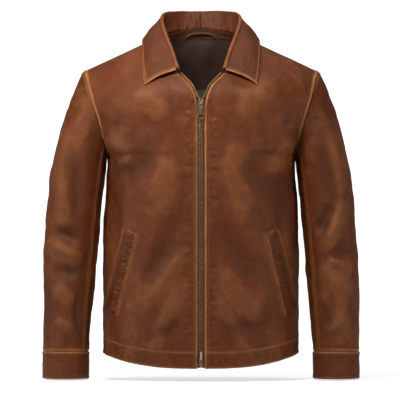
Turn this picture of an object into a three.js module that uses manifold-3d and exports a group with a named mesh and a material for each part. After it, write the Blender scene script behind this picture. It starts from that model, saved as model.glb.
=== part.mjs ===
// A brown leather riding jacket, zipped up, as its separate cut and sewn pieces.
// Millimetres, +Z up, the wearer looks along -Y, and +X is the wearer's left.
// The origin is the centre of the neck opening, level with the shoulder seams' neck ends.
import * as THREE from "three";
import { mergeVertices } from "three/addons/utils/BufferGeometryUtils.js";
import Module from "manifold-3d";

const wasm = await Module();
wasm.setup();

// ---- Body sizes ----
const NECK_HALF = 85; // half the neck opening's width
const NECK_BACK_DEPTH = 70; // origin back to the neck seam
const NECK_BACK_RISE = 18; // how far the back neck seam stands above the shoulder seams
const SHOULDER_HALF = 236; // origin out to the shoulder tip
const SHOULDER_SLOPE = 0.466; // fall of the shoulder seam per mm outwards
const ARMHOLE_DEPTH = 164; // shoulder tip down to the armpit
const ARMHOLE_WIDTH = 134; // front edge of the armhole to its back edge
const CHEST_HALF = 186; // half-width between the armpits
const WAIST_EXTRA = 8.5; // how much wider each side is below the armpit
const FRONT_DEPTH = 130; // origin forward to the zip
const BACK_DEPTH = 118; // origin back to the shoulder blades
const SHOULDER_ROUND = 120; // drop over which the shoulder rolls over into the chest
const BODY_LENGTH = 634; // origin down to the hem at the side seams
const HEM_DIP = 26; // how much lower the hem is at the zip
const HEM_BAND = 32; // turned-up hem

// ---- Front edge and zip ----
const ZIP_TOP = 128; // origin down to the closed slider's top
const NECK_DROP = 77; // origin down to the front ends of the neck seam
const NECK_FRONT_HALF = 45; // half-gap between those ends
const EDGE_HALF = 9; // half-gap between the two leather front edges
const CHAIN_HALF = 4.4; // half-width of the closed chain
const CHAIN_SLOT = 0.8; // half-gap between the two rows of teeth, for the slider's post
const CHAIN_THICK = 3.4;
const TAPE_WIDTH = 14;
const TAPE_THICK = 0.7;
const SLIDER_LENGTH = 20;
const SLIDER_HALF = 6;
const SLIDER_PLATE = 1.3;
const BAIL_REACH = 4.2; // how far the bail stands off the slider's front plate
const BAIL_HALF = 1.3;
const PULL_WIDTH = 13.4;
const PULL_LENGTH = 31;
const PULL_THICK = 1.5;
const PULL_BAR = 1.7; // bar above the pull's window, which the bail holds
const PULL_WINDOW = 6.4; // height of that window
const PULL_SLOT = 5.4; // height of the slot in its lower end
const BOX_HEIGHT = 15;
const PIN_RADIUS = 0.9;

// ---- Sleeves and cuffs ----
const SLEEVE_LENGTH = 557; // shoulder tip down to the cuff seam
const SLEEVE_FLARE = 79; // how far outside the shoulder tip the sleeve hangs
const CUFF_HALF = 45.5; // half-width of the sleeve at the cuff
const CUFF_HALF_DEPTH = 50;
const BICEP_HALF_DEPTH = 72;
const FOREARM_FORWARD = 26; // how far the cuff hangs in front of the shoulder
const CUFF_HEIGHT = 55;
const CUFF_PROUD = 1; // cuff's outer face beyond the sleeve's
const FRONT_SLEEVE_SEAM = 140; // degrees round from the outside of the arm, by the front
const BACK_SLEEVE_SEAM = -115; // and by the back

// ---- Collar ----
const STAND_HEIGHT = 32; // neck seam up to the roll at the centre back
const ROLL_HALF = 4.4; // half the thickness of the rolled collar
const FALL_HALF = 116; // origin out to the collar's edge over the shoulder
const POINT_HALF = 112; // and to its point
const POINT_DROP = 98; // origin down to the collar's point
const COLLAR_LIFT = 7.4; // collar's face above the body leather

// ---- Pockets, facings and loop ----
const MOUTH_TOP_X = 148;
const MOUTH_TOP_DROP = 392;
const MOUTH_LENGTH = 156;
const MOUTH_TILT = 14; // degrees from upright, lower end outwards
const MOUTH_WIDTH = 3;
const WELT_WIDTH = 17;
const WELT_EXTRA = 5; // welt beyond each end of the mouth
const BAG_REACH = 76; // mouth to the pocket bag's inner edge
const BAG_BELOW = 20; // bag below the mouth's lower end
const BAG_HOLLOW = 3;
const FACING_WIDTH = 48;
const NECK_FACING_HALF = 84; // half the neck facing's width
const NECK_FACING_DROP = 2; // origin down to the lower edge of the neck facing
const LOOP_HALF = 26;
const LOOP_RISE = 11;
const LOOP_BAND = 4;

// ---- Sheet thicknesses and clearances ----
const LEATHER = 1.3;
const SKIVED = 0.7; // leather pared thin for the under collar
const LINING = 0.8;
const BAG_PLY = 0.6;
const GAP = 0.4; // between neighbouring pieces and between plies
const PLY_SLACK = 2.4; // how far an inner ply with seams of its own hangs clear of the outer one
const RUNNING_GAP = 0.5; // round the slider and the pull's bar

const HEM_SIDE = -BODY_LENGTH;
const HEM_FRONT = -BODY_LENGTH - HEM_DIP;
const TIP_Z = -(SHOULDER_HALF - NECK_HALF) * SHOULDER_SLOPE;
const ARMPIT_Z = TIP_Z - ARMHOLE_DEPTH;
const CUFF_TOP = TIP_Z - SLEEVE_LENGTH;

// ---- Colours of the real materials ----
const finish = (color, roughness, metalness = 0) =>
  new THREE.MeshStandardMaterial({ color, roughness, metalness });
const leather = () => finish(0x744830, 0.55);
const darkLeather = () => finish(0x3f261a, 0.6);
const satin = () => finish(0x2b1d16, 0.45);
const cotton = () => finish(0x241a14, 0.9);
const tapeCloth = () => finish(0x35231a, 0.9);
const brass = () => finish(0x917c5c, 0.4, 1);

// ---- Small helpers ----
const lerp = (a, b, t) => a + (b - a) * t;
const clamp01 = (t) => Math.min(1, Math.max(0, t));
const smooth = (t) => clamp01(t) ** 2 * (3 - 2 * clamp01(t));
const radians = THREE.MathUtils.degToRad;
const vec = (x, y, z) => new THREE.Vector3(x, y, z);
const smoothCurve = (...points) => new THREE.CatmullRomCurve3(points, false, "centripetal");

const jacket = new THREE.Group();

function addMesh(name, geometry, material) {
  const mesh = new THREE.Mesh(geometry, material);
  mesh.name = name;
  jacket.add(mesh);
  return mesh;
}

function onlyPositions(geometry) {
  geometry.deleteAttribute("normal");
  geometry.deleteAttribute("uv");
  return mergeVertices(geometry, 1e-4);
}

function reverseFaces(geometry) {
  const index = geometry.index.array;
  for (let i = 0; i < index.length; i += 3) {
    [index[i + 1], index[i + 2]] = [index[i + 2], index[i + 1]];
  }
  return geometry;
}

function mirrored(geometry) {
  return reverseFaces(geometry.clone().scale(-1, 1, 1));
}

// The same piece on the wearer's left (+X), as built, and mirrored on the right.
function addPair(name, geometry, material) {
  addMesh(name + "_left", geometry, material);
  addMesh(name + "_right", mirrored(geometry), material.clone());
}

function solidOf(geometry) {
  return new wasm.Manifold(
    new wasm.Mesh({
      numProp: 3,
      vertProperties: geometry.attributes.position.array,
      triVerts: new Uint32Array(geometry.index.array),
    }),
  );
}

function geometryOf(solid) {
  const { vertProperties, triVerts } = solid.getMesh();
  const geometry = new THREE.BufferGeometry();
  geometry.setAttribute("position", new THREE.BufferAttribute(vertProperties, 3));
  geometry.setIndex(new THREE.BufferAttribute(triVerts, 1));
  return geometry;
}

const joined = (a, b) => geometryOf(solidOf(a).add(solidOf(b)));
const cut = (a, b) => geometryOf(solidOf(a).subtract(solidOf(b)));
const common = (a, b) => geometryOf(solidOf(a).intersect(solidOf(b)));

// Outward normal of the surface at(u, v), by small steps that stay inside it.
function normalAt(at, u, v) {
  const step = 1e-4;
  const along = at(Math.min(1, u + step), v).sub(at(Math.max(0, u - step), v));
  const up = at(u, Math.min(1, v + step)).sub(at(u, Math.max(0, v - step)));
  return along.cross(up).normalize();
}

// Turns the diagonals of a box's back face to run like the front's, so that a bent sheet keeps its
// thickness and lies parallel to the next ply.
function alignDiagonals(geometry) {
  const index = geometry.index.array;
  const { start, count } = geometry.groups[5];
  for (let i = start; i < start + count; i += 6) {
    const [a, b, d, , c] = index.slice(i, i + 5);
    index.set([a, b, c, a, c, d], i);
  }
}

// A sheet of leather or cloth: the surface at(u, v) carried inwards from depth `from` to depth `to`.
// `keep` may move a point that would cross a seam plane back to its own side.
function sheet({ at, across, along, from, to, keep = (p) => p }) {
  const depthFrom = typeof from === "function" ? from : () => from;
  const depthTo = typeof to === "function" ? to : () => to;
  const geometry = new THREE.BoxGeometry(1, 1, 1, across, along, 1);
  alignDiagonals(geometry);
  const position = geometry.attributes.position;
  for (let i = 0; i < position.count; i++) {
    const u = position.getX(i) + 0.5;
    const v = position.getY(i) + 0.5;
    const depth = position.getZ(i) > 0 ? depthFrom(u, v) : depthTo(u, v);
    const point = at(u, v).addScaledVector(normalAt(at, u, v), -depth);
    position.setXYZ(i, ...keep(point).toArray());
  }
  return onlyPositions(geometry);
}

function box(x0, x1, y0, y1, z0, z1) {
  const geometry = new THREE.BoxGeometry(x1 - x0, y1 - y0, z1 - z0);
  geometry.translate((x0 + x1) / 2, (y0 + y1) / 2, (z0 + z1) / 2);
  return onlyPositions(geometry);
}

// ---- The torso's form ----
const shoulderLine = (x) => -(Math.abs(x) - NECK_HALF) * SHOULDER_SLOPE;
const neckRound = (x) => Math.max(0, 1 - (x / NECK_HALF) ** 2);

// Top edge of the back: the neck seam between the two shoulder seams.
function backTop(x) {
  return Math.abs(x) < NECK_HALF ? NECK_BACK_RISE * neckRound(x) : shoulderLine(x);
}

// The armhole lies in a plane that leans in from the shoulder tip to the armpit.
const ARMHOLE_LEAN = (SHOULDER_HALF - CHEST_HALF) / ARMHOLE_DEPTH;
const ARMHOLE_NORMAL = vec(1, 0, -ARMHOLE_LEAN).normalize();
const armholeX = (z) => SHOULDER_HALF + (z - TIP_Z) * ARMHOLE_LEAN;
const pastArmhole = (p) => p.clone().sub(vec(SHOULDER_HALF, 0, TIP_Z)).dot(ARMHOLE_NORMAL);

function sideX(z) {
  if (z > ARMPIT_Z) return armholeX(z);
  return CHEST_HALF + WAIST_EXTRA * smooth((ARMPIT_Z - z) / (0.85 * ARMHOLE_DEPTH));
}

// Half the armhole's width at a height, before the shoulder rounds it off.
function armholeHalf(z) {
  const t = clamp01((z - ARMPIT_Z) / (0.55 * ARMHOLE_DEPTH));
  return (ARMHOLE_WIDTH / 2) * Math.sqrt(1 - (1 - t) ** 2);
}

// Half-section of the body at a height: flat in the middle, turning back towards the side.
function bodyDepth(x, z, depth) {
  const squareness = 3;
  const turn = lerp(2, 1.15, smooth((z - ARMPIT_Z) / 60));
  const reach = Math.min(1, Math.abs(x) / sideX(z));
  const side = armholeHalf(z);
  return side + (depth - side) * (1 - reach ** squareness) ** (1 / turn);
}

// Quarter round from a seam at the top (0) to the full depth (1) of the body below it.
function overShoulder(drop) {
  const t = clamp01(drop / SHOULDER_ROUND);
  return Math.sqrt(1 - (1 - t) ** 2);
}

function frontDepthAt(z) {
  const neckLoss = 0.5 * FRONT_DEPTH;
  return FRONT_DEPTH - neckLoss * smooth((z + ZIP_TOP) / (0.95 * ZIP_TOP));
}

function backDepthAt(z) {
  const bladeZ = -0.55 * ARMHOLE_DEPTH;
  const waistLoss = 0.1 * BACK_DEPTH * smooth((bladeZ - z) / (0.5 * BODY_LENGTH));
  const neckLoss = 0.22 * BACK_DEPTH * smooth((z - bladeZ) / -bladeZ);
  return BACK_DEPTH - waistLoss - neckLoss;
}

function frontAt(x, z) {
  const depth = bodyDepth(x, z, frontDepthAt(z)) * overShoulder(shoulderLine(x) - z);
  return vec(x, Math.min(-GAP / 2, -depth), z);
}

function backAt(x, z) {
  const neck = NECK_BACK_DEPTH * neckRound(x) ** 0.75;
  const drop = backTop(x) - z;
  const share = lerp(overShoulder(drop), clamp01(drop / SHOULDER_ROUND), neckRound(x));
  const depth = lerp(neck, bodyDepth(x, z, backDepthAt(z)), share);
  return vec(x, Math.max(GAP / 2, depth), z);
}

// Front edge of one half: straight up the zip, out along the neckline's V and round to the shoulder.
// Every ply is laid on the same rows and columns, so that plies stay parallel.
const ROWS = 18;
const HEM_ROW = 1 / ROWS;
const ARMPIT_ROW = 11 / ROWS;
const ZIP_ROW = 13 / ROWS;
const neckline = smoothCurve(
  vec(EDGE_HALF, 0, -ZIP_TOP - 12),
  vec(0.3 * NECK_FRONT_HALF, 0, -lerp(NECK_DROP, ZIP_TOP, 0.84)),
  vec(0.5 * NECK_FRONT_HALF, 0, -lerp(NECK_DROP, ZIP_TOP, 0.45)),
  vec(NECK_FRONT_HALF, 0, -NECK_DROP),
  vec(lerp(NECK_FRONT_HALF, NECK_HALF, 0.72), 0, -0.5 * NECK_DROP),
  vec(NECK_HALF, 0, 0),
);
const NECK_CORNER = 0.46; // where along the neckline the V ends and the neck seam starts

function frontEdge(v) {
  const bandTop = HEM_FRONT + HEM_BAND;
  if (v <= HEM_ROW) return vec(EDGE_HALF, 0, lerp(HEM_FRONT, bandTop, v / HEM_ROW));
  const rise = (v - HEM_ROW) / (ZIP_ROW - HEM_ROW);
  if (rise <= 1) return vec(EDGE_HALF, 0, lerp(bandTop, -ZIP_TOP - 12, rise));
  return neckline.getPointAt((v - ZIP_ROW) / (1 - ZIP_ROW));
}

// Side seam, then the armhole.
function outerEdge(v) {
  const bandTop = HEM_SIDE + HEM_BAND;
  const side = (v - HEM_ROW) / (ARMPIT_ROW - HEM_ROW);
  const armhole = (v - ARMPIT_ROW) / (1 - ARMPIT_ROW);
  let z = lerp(HEM_SIDE, bandTop, v / HEM_ROW);
  if (side > 0) z = lerp(bandTop, ARMPIT_Z, side);
  if (armhole > 0) z = lerp(ARMPIT_Z, TIP_Z, armhole);
  return vec(sideX(z), 0, z);
}

// A front half-panel's surface: s runs from the front edge to the side, v from hem to shoulder.
function frontRow(s, v) {
  const point = frontEdge(v).lerp(outerEdge(v), s);
  const share = clamp01(s);
  const hemCurve = HEM_DIP * (share - share ** 2.6) * Math.max(0, 1 - v * 2);
  return frontAt(point.x, point.z - hemCurve);
}

const rowWidth = (v) => outerEdge(v).x - frontEdge(v).x;
const turnToSide = (u) => Math.sin((u * Math.PI) / 2);

// Columns of a front half: the first ones under the facing, the rest spread out to the side seam.
const FRONT_COLUMNS = 9;
const FACING_COLUMNS = 2;
const FACING_SHARE = FACING_COLUMNS / FRONT_COLUMNS;

function frontSurface(u, v) {
  const facing = FACING_WIDTH / rowWidth(v);
  if (u <= FACING_SHARE) return frontRow((facing * u) / FACING_SHARE, v);
  return frontRow(lerp(facing, 1, turnToSide((u - FACING_SHARE) / (1 - FACING_SHARE))), v);
}

const BACK_COLUMNS = 18;

// The back's surface: u runs from the wearer's left to the right, v from hem to the top edge.
function backRow(u, v) {
  const s = turnToSide(1 - 2 * u);
  const outer = outerEdge(v);
  const middle = lerp(HEM_SIDE, backTop(0), (outer.z - HEM_SIDE) / (TIP_Z - HEM_SIDE));
  const bow = backTop(SHOULDER_HALF * s) - lerp(backTop(0), TIP_Z, Math.abs(s));
  return backAt(outer.x * s, lerp(middle, outer.z, Math.abs(s)) + bow * v ** 2);
}

function keepTorso(p) {
  if (p.z < ARMPIT_Z) return p;
  const over = pastArmhole(vec(Math.abs(p.x), p.y, p.z)) + GAP / 2;
  if (over > 0) {
    p.x -= Math.sign(p.x) * over * ARMHOLE_NORMAL.x;
    p.z -= over * ARMHOLE_NORMAL.z;
  }
  return p;
}

function keepFront(p) {
  p.y = Math.min(p.y, -GAP / 2);
  return keepTorso(p);
}

function keepBack(p) {
  p.y = Math.max(p.y, GAP / 2);
  return keepTorso(p);
}

// ---- Pockets: p runs down the mouth, q towards the zip ----
const tilt = radians(MOUTH_TILT);
function pocketAt(p, q) {
  const x = MOUTH_TOP_X + p * Math.sin(tilt) - q * Math.cos(tilt);
  const z = -MOUTH_TOP_DROP - p * Math.cos(tilt) - q * Math.sin(tilt);
  return frontAt(x, z);
}

function pocketSheet([p0, p1], [q0, q1], from, to, along = 10, across = 2) {
  const at = (u, v) => pocketAt(lerp(p1, p0, v), lerp(q1, q0, u));
  return sheet({ at, across, along, from, to });
}

function mouthSlit() {
  const half = MOUTH_WIDTH / 2;
  return pocketSheet([2, MOUTH_LENGTH - 2], [-half, half], -3, 2.5 * LEATHER);
}

function pocketWelt() {
  const start = MOUTH_WIDTH / 2;
  return pocketSheet([-WELT_EXTRA, MOUTH_LENGTH + WELT_EXTRA], [start, start + WELT_WIDTH], -2 * GAP - LEATHER, -2 * GAP);
}

// A flat pouch behind the leather, open only at the mouth.
function pocketBag() {
  const front = LEATHER + PLY_SLACK;
  const back = front + 2 * BAG_PLY + BAG_HOLLOW;
  const end = MOUTH_LENGTH + BAG_BELOW;
  const margin = 2;
  const outside = pocketSheet([-margin, end], [-margin, BAG_REACH], front, back, 6, 3);
  const hollow = pocketSheet(
    [1, end - margin],
    [1 - margin, BAG_REACH - margin],
    front + BAG_PLY,
    back - BAG_PLY,
    6,
    3,
  );
  return cut(cut(outside, hollow), mouthThrough(front));
}

function mouthThrough(front) {
  const half = MOUTH_WIDTH / 2;
  return pocketSheet([2, MOUTH_LENGTH - 2], [-half, half], front - 1, front + BAG_PLY + 1);
}

// ---- Body leather ----
function addFrontPanels() {
  const plain = sheet({
    at: frontSurface,
    across: FRONT_COLUMNS,
    along: ROWS,
    from: 0,
    to: LEATHER,
    keep: keepFront,
  });
  addPair("front_panel", cut(plain, mouthSlit()), leather());
}

function addBackPanel() {
  const at = (u, v) => backRow(u, v);
  const geometry = sheet({ at, across: BACK_COLUMNS, along: ROWS, from: 0, to: LEATHER, keep: keepBack });
  addMesh("back_panel", geometry, leather());
}

function addPockets() {
  addPair("pocket_welt", pocketWelt(), leather());
  addPair("pocket_bag", pocketBag(), cotton());
}

// ---- Facings and lining inside the body ----
const FACING_FROM = LEATHER + TAPE_THICK + 6 * GAP;
const LINING_SAG = BAG_HOLLOW + 2 * BAG_PLY + 1.6 * PLY_SLACK;
const SEAM = 0.002; // share of a sheet's rows or columns that a seam between two facings takes

function addFrontFacings() {
  const geometry = sheet({
    at: (u, v) => frontSurface(u * (FACING_SHARE - SEAM), v),
    across: FACING_COLUMNS,
    along: ROWS,
    from: FACING_FROM,
    to: FACING_FROM + LEATHER,
    keep: keepFront,
  });
  addPair("front_facing", geometry, darkLeather());
}

const besideFacing = (u) => lerp(FACING_SHARE + SEAM, 1, u);

function addHemFacings() {
  const from = LEATHER + GAP;
  const to = from + LEATHER;
  const front = sheet({
    at: (u, v) => frontSurface(besideFacing(u), v * (HEM_ROW - SEAM)),
    across: FRONT_COLUMNS - FACING_COLUMNS,
    along: 1,
    from,
    to,
    keep: keepFront,
  });
  const back = sheet({
    at: (u, v) => backRow(u, v * (HEM_ROW - SEAM)),
    across: BACK_COLUMNS,
    along: 1,
    from,
    to,
    keep: keepBack,
  });
  addPair("hem_facing", front, darkLeather());
  addMesh("hem_facing_back", back, darkLeather());
}

// The lining hangs clear of the pocket bags and comes out to the facings at its edges.
function liningDepth(u, v) {
  const toEdge = Math.min(1 - v, v, u, 1 - u);
  return LEATHER + PLY_SLACK + LINING_SAG * smooth(toEdge / 0.06);
}

function liningSheet(at, columns, keep) {
  return sheet({
    at,
    across: columns,
    along: ROWS - 1,
    from: liningDepth,
    to: (u, v) => liningDepth(u, v) + LINING,
    keep,
  });
}

// The space that the neck facing takes out of the back lining, with a margin round it.
function neckFacingBlock(margin) {
  const half = NECK_FACING_HALF + margin;
  return box(-half, half, -1, BACK_DEPTH, -NECK_FACING_DROP - margin, 2 * NECK_BACK_RISE);
}

function addBodyLining() {
  const aboveHem = (v) => lerp(HEM_ROW + SEAM, 1, v);
  const front = (u, v) => frontSurface(besideFacing(u), aboveHem(v));
  addPair("lining_front", liningSheet(front, FRONT_COLUMNS - FACING_COLUMNS, keepFront), satin());
  const back = (u, v) => backRow(u, aboveHem(v));
  const whole = liningSheet(back, BACK_COLUMNS, keepBack);
  addMesh("lining_back", cut(whole, neckFacingBlock(GAP)), satin());
}

function addNeckFacing() {
  const from = LEATHER + PLY_SLACK;
  const whole = sheet({
    at: (u, v) => backRow(u, v),
    across: BACK_COLUMNS,
    along: ROWS,
    from,
    to: from + LEATHER,
    keep: keepBack,
  });
  addMesh("neck_facing", common(whole, neckFacingBlock(0)), darkLeather());
}

// ---- Sleeves ----
const SLEEVE_ROWS = 10;
const TOP_COLUMNS = 11;
const UNDER_COLUMNS = 5;
const innerStart = CHEST_HALF;
const outerSleeve = (t) => SHOULDER_HALF + SLEEVE_FLARE * (1 - (1 - t) ** 3.4);
const innerSleeve = (f) => lerp(innerStart, SHOULDER_HALF + SLEEVE_FLARE - 2 * CUFF_HALF, f ** 0.85);

// The ring of the sleeve at t, from the armhole (0) to the cuff (1), as its outermost and innermost points.
function sleeveRing(t) {
  const f = t ** 1.35;
  const outer = vec(outerSleeve(t), 0, lerp(TIP_Z, CUFF_TOP, t));
  const inner = vec(innerSleeve(f), 0, lerp(ARMPIT_Z, CUFF_TOP, f));
  return { outer, inner };
}

function sleeveHalfDepth(t) {
  return lerp(BICEP_HALF_DEPTH, CUFF_HALF_DEPTH, smooth((t - 0.15) / 0.85));
}

const sleeveForward = (t) => -FOREARM_FORWARD * smooth((t - 0.35) / 0.65);

function armholeY(angle, z) {
  const x = armholeX(z);
  return Math.sin(angle) > 0 ? frontAt(x, z).y : backAt(x, z).y;
}

function sleeveAt(angle, t) {
  const { outer, inner } = sleeveRing(t);
  const point = inner.clone().lerp(outer, 0.5 + 0.5 * Math.cos(angle));
  const roundY = sleeveForward(t) - sleeveHalfDepth(t) * Math.sin(angle);
  const shape = smooth(t / 0.25);
  const headY = armholeY(angle, lerp(ARMPIT_Z, TIP_Z, 0.5 + 0.5 * Math.cos(angle)));
  point.y = lerp(headY, roundY, shape);
  return point;
}

function keepSleeve(p) {
  const short = GAP / 2 - pastArmhole(p);
  if (short > 0) p.addScaledVector(ARMHOLE_NORMAL, short);
  return p;
}

// Angle of the sleeve's columns: u below 0 and past 1 is not used.
const TOP_SHARE = TOP_COLUMNS / (TOP_COLUMNS + UNDER_COLUMNS);
const WRAP_ANGLE = BACK_SLEEVE_SEAM + 360;

function sleeveAngle(u) {
  if (u <= TOP_SHARE) return radians(lerp(BACK_SLEEVE_SEAM, FRONT_SLEEVE_SEAM, u / TOP_SHARE));
  return radians(lerp(FRONT_SLEEVE_SEAM, WRAP_ANGLE, (u - TOP_SHARE) / (1 - TOP_SHARE)));
}

function sleeveSheet(u0, u1, across, from, to) {
  const at = (u, v) => sleeveAt(sleeveAngle(lerp(u0 + SEAM / 2, u1 - SEAM / 2, u)), v ** 1.3);
  return sheet({ at, across, along: SLEEVE_ROWS, from, to, keep: keepSleeve });
}

function cuffSheet(from, to) {
  const at = (u, v) => {
    const point = sleeveAt(sleeveAngle(lerp(SEAM / 2, 1 - SEAM / 2, u)), 1);
    point.z = CUFF_TOP - GAP - v * CUFF_HEIGHT;
    return point;
  };
  return sheet({ at, across: TOP_COLUMNS + UNDER_COLUMNS, along: 1, from, to });
}

function addSleeves() {
  addPair("sleeve_top", sleeveSheet(0, TOP_SHARE, TOP_COLUMNS, 0, LEATHER), leather());
  addPair("sleeve_under", sleeveSheet(TOP_SHARE, 1, UNDER_COLUMNS, 0, LEATHER), leather());
  const from = LEATHER + GAP;
  const columns = TOP_COLUMNS + UNDER_COLUMNS;
  addPair("lining_sleeve", sleeveSheet(0, 1, columns, from, from + LINING), satin());
  addPair("cuff", cuffSheet(-CUFF_PROUD, LEATHER - CUFF_PROUD), leather());
  const inside = LEATHER - CUFF_PROUD + GAP;
  addPair("cuff_facing", cuffSheet(inside, inside + LEATHER), darkLeather());
}

// ---- Collar: s runs from the centre back to the front end ----
function onNeckline(share) {
  const point = neckline.getPointAt(share);
  return frontAt(point.x, point.z);
}

const neckSeam = smoothCurve(
  backAt(0, NECK_BACK_RISE),
  backAt(0.5 * NECK_HALF, backTop(0.5 * NECK_HALF)),
  backAt(0.88 * NECK_HALF, backTop(0.88 * NECK_HALF)),
  vec(NECK_HALF, 0, 0),
  onNeckline(0.82),
  onNeckline(0.64),
  onNeckline(NECK_CORNER),
);
const rollTop = NECK_BACK_RISE + STAND_HEIGHT;
const rollLine = smoothCurve(
  vec(0, NECK_BACK_DEPTH + 10, rollTop),
  vec(0.5 * NECK_HALF, NECK_BACK_DEPTH + 3, rollTop),
  vec(0.86 * NECK_HALF, 0.6 * NECK_BACK_DEPTH, rollTop - 5),
  vec(0.92 * NECK_HALF, 0.1 * NECK_BACK_DEPTH, 0.6 * rollTop),
  vec(0.82 * NECK_HALF, -0.5 * NECK_BACK_DEPTH, 0),
  vec(lerp(NECK_FRONT_HALF, NECK_HALF, 0.3), frontAt(0, -0.5 * NECK_DROP).y + 2, -0.42 * NECK_DROP),
  vec(NECK_FRONT_HALF + 1, frontAt(0, -NECK_DROP).y - 3, -0.78 * NECK_DROP),
);

// Edge of the fall, lying on the body leather.
const onFront = (x, z) => frontAt(x, z).add(vec(0, -COLLAR_LIFT, 0));
const onBack = (x, z) => backAt(x, z).add(vec(0, COLLAR_LIFT, 0));
const fallEdge = smoothCurve(
  onBack(0, -12),
  onBack(0.55 * FALL_HALF, -13),
  onBack(0.85 * FALL_HALF, -22),
  vec(FALL_HALF + 1, 0, shoulderLine(FALL_HALF) + COLLAR_LIFT),
  onFront(FALL_HALF + 2, 0.42 * -POINT_DROP),
  onFront(FALL_HALF, 0.74 * -POINT_DROP),
  onFront(POINT_HALF, -POINT_DROP),
);

// Across the collar at s: up the stand (r from 0), over the roll, and down the fall (to r = 1).
const COLLAR_ROWS = 9;
const STAND_SHARE = 2 / COLLAR_ROWS;
const ROLL_SHARE = 5 / COLLAR_ROWS;

function collarAt(s, r) {
  const roll = rollLine.getPoint(s);
  const seam = neckSeam.getPoint(s).add(vec(0, 0, 3 * GAP));
  const edge = fallEdge.getPoint(s);
  const outwards = edge.clone().sub(seam).setZ(0).normalize();
  const inside = roll.clone().addScaledVector(outwards, -ROLL_HALF);
  const outside = roll.clone().addScaledVector(outwards, ROLL_HALF);
  if (r < STAND_SHARE) return seam.lerp(inside, r / STAND_SHARE);
  if (r < ROLL_SHARE) {
    const angle = (Math.PI * (r - STAND_SHARE)) / (ROLL_SHARE - STAND_SHARE);
    const point = roll.addScaledVector(outwards, -ROLL_HALF * Math.cos(angle));
    return point.add(vec(0, 0, ROLL_HALF * Math.sin(angle)));
  }
  const down = (r - ROLL_SHARE) / (1 - ROLL_SHARE);
  const belly = 5 * Math.sin(Math.PI * down);
  return outside.lerp(edge, down).addScaledVector(outwards, belly * 0.6).add(vec(0, 0, belly * 0.6));
}

function collarSheet(from, to) {
  const at = (u, v) => collarAt(lerp(0.002, 1, u), v);
  return sheet({ at, across: 12, along: COLLAR_ROWS, from, to });
}

function addCollar() {
  addPair("collar", collarSheet(0, LEATHER), leather());
  const under = LEATHER + 2 * GAP;
  const tight = cut(collarSheet(under, under + SKIVED), collarSheet(0, LEATHER + GAP / 2));
  addPair("under_collar", tight, darkLeather());
}

// ---- Hanger loop: a band from seam to seam, arched up over the neck facing ----
function addHangerLoop() {
  const foot = -NECK_FACING_DROP + 2;
  const outer = LOOP_HALF + LOOP_BAND;
  const column = backRow(0.5 - 1 / BACK_COLUMNS, 1).x;
  const facingY = lerp(backAt(0, foot).y, backAt(column, foot).y, outer / column);
  const y = facingY - 2 * LEATHER - PLY_SLACK - 3 * GAP;
  const band = new THREE.Shape();
  band.absellipse(0, 0, outer, LOOP_RISE, 0, Math.PI, false);
  band.absellipse(0, 0, LOOP_HALF, LOOP_RISE - LOOP_BAND, Math.PI, 0, true);
  const geometry = new THREE.ExtrudeGeometry(band, { depth: LEATHER, bevelEnabled: false, curveSegments: 10 });
  geometry.rotateX(Math.PI / 2);
  geometry.translate(0, y, foot);
  addMesh("hanger_loop", onlyPositions(geometry), darkLeather());
}

// ---- Zip ----
const CHAIN_Y = -FRONT_DEPTH + LEATHER + GAP + TAPE_THICK / 2;
const CHAIN_BOTTOM = HEM_FRONT + BOX_HEIGHT + 6;

// The line that a chain follows: straight up the middle, then out along the V beside the leather edge.
const openChain = smoothCurve(
  vec(CHAIN_HALF, 0, -ZIP_TOP),
  vec(0.24 * NECK_FRONT_HALF, 0, -lerp(NECK_DROP, ZIP_TOP, 0.8)),
  vec(0.4 * NECK_FRONT_HALF, 0, -lerp(NECK_DROP, ZIP_TOP, 0.5)),
  vec(0.86 * NECK_FRONT_HALF, 0, -NECK_DROP - 3),
);
const STRAIGHT_SHARE = 0.8;

function chainLine(v) {
  if (v <= STRAIGHT_SHARE) return vec(CHAIN_HALF, 0, lerp(CHAIN_BOTTOM, -ZIP_TOP, v / STRAIGHT_SHARE));
  return openChain.getPointAt((v - STRAIGHT_SHARE) / (1 - STRAIGHT_SHARE));
}

// A strip beside the chain's outer line: `near` and `far` are distances from it, outwards.
function chainStrip(near, far, from, to, across) {
  const at = (u, v) => {
    const point = chainLine(v);
    const next = chainLine(Math.min(1, v + 0.01));
    const last = chainLine(Math.max(0, v - 0.01));
    const direction = next.sub(last).normalize();
    const away = lerp(near, far, u);
    const x = point.x + away * direction.z;
    const z = point.z - away * direction.x;
    return frontAt(x, z);
  };
  return sheet({ at, across, along: 20, from, to });
}

function addZipChains() {
  const tapeFrom = LEATHER + GAP;
  const chainFrom = tapeFrom + (TAPE_THICK - CHAIN_THICK) / 2;
  const openDepth = (u, v) => tapeFrom + 4 * GAP * smooth((v - STRAIGHT_SHARE + 0.05) / 0.05);
  const tapeBack = (u, v) => openDepth(u, v) + TAPE_THICK;
  const tape = chainStrip(GAP, TAPE_WIDTH, openDepth, tapeBack, 2);
  const teeth = chainStrip(CHAIN_SLOT - CHAIN_HALF, 0, chainFrom, chainFrom + CHAIN_THICK, 1);
  addPair("zip_tape", tape, tapeCloth());
  addPair("zip_teeth", teeth, brass());
}

function addTopStops() {
  const top = chainLine(1);
  const at = frontAt(top.x, top.z);
  const size = CHAIN_HALF;
  const stop = box(-size / 2, size / 2, -CHAIN_THICK / 2, CHAIN_THICK / 2, -1.5, 1.5);
  stop.rotateY(radians(-50));
  stop.translate(at.x, at.y + LEATHER + GAP, at.z + 3.2);
  addPair("zip_top_stop", stop, brass());
}

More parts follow.
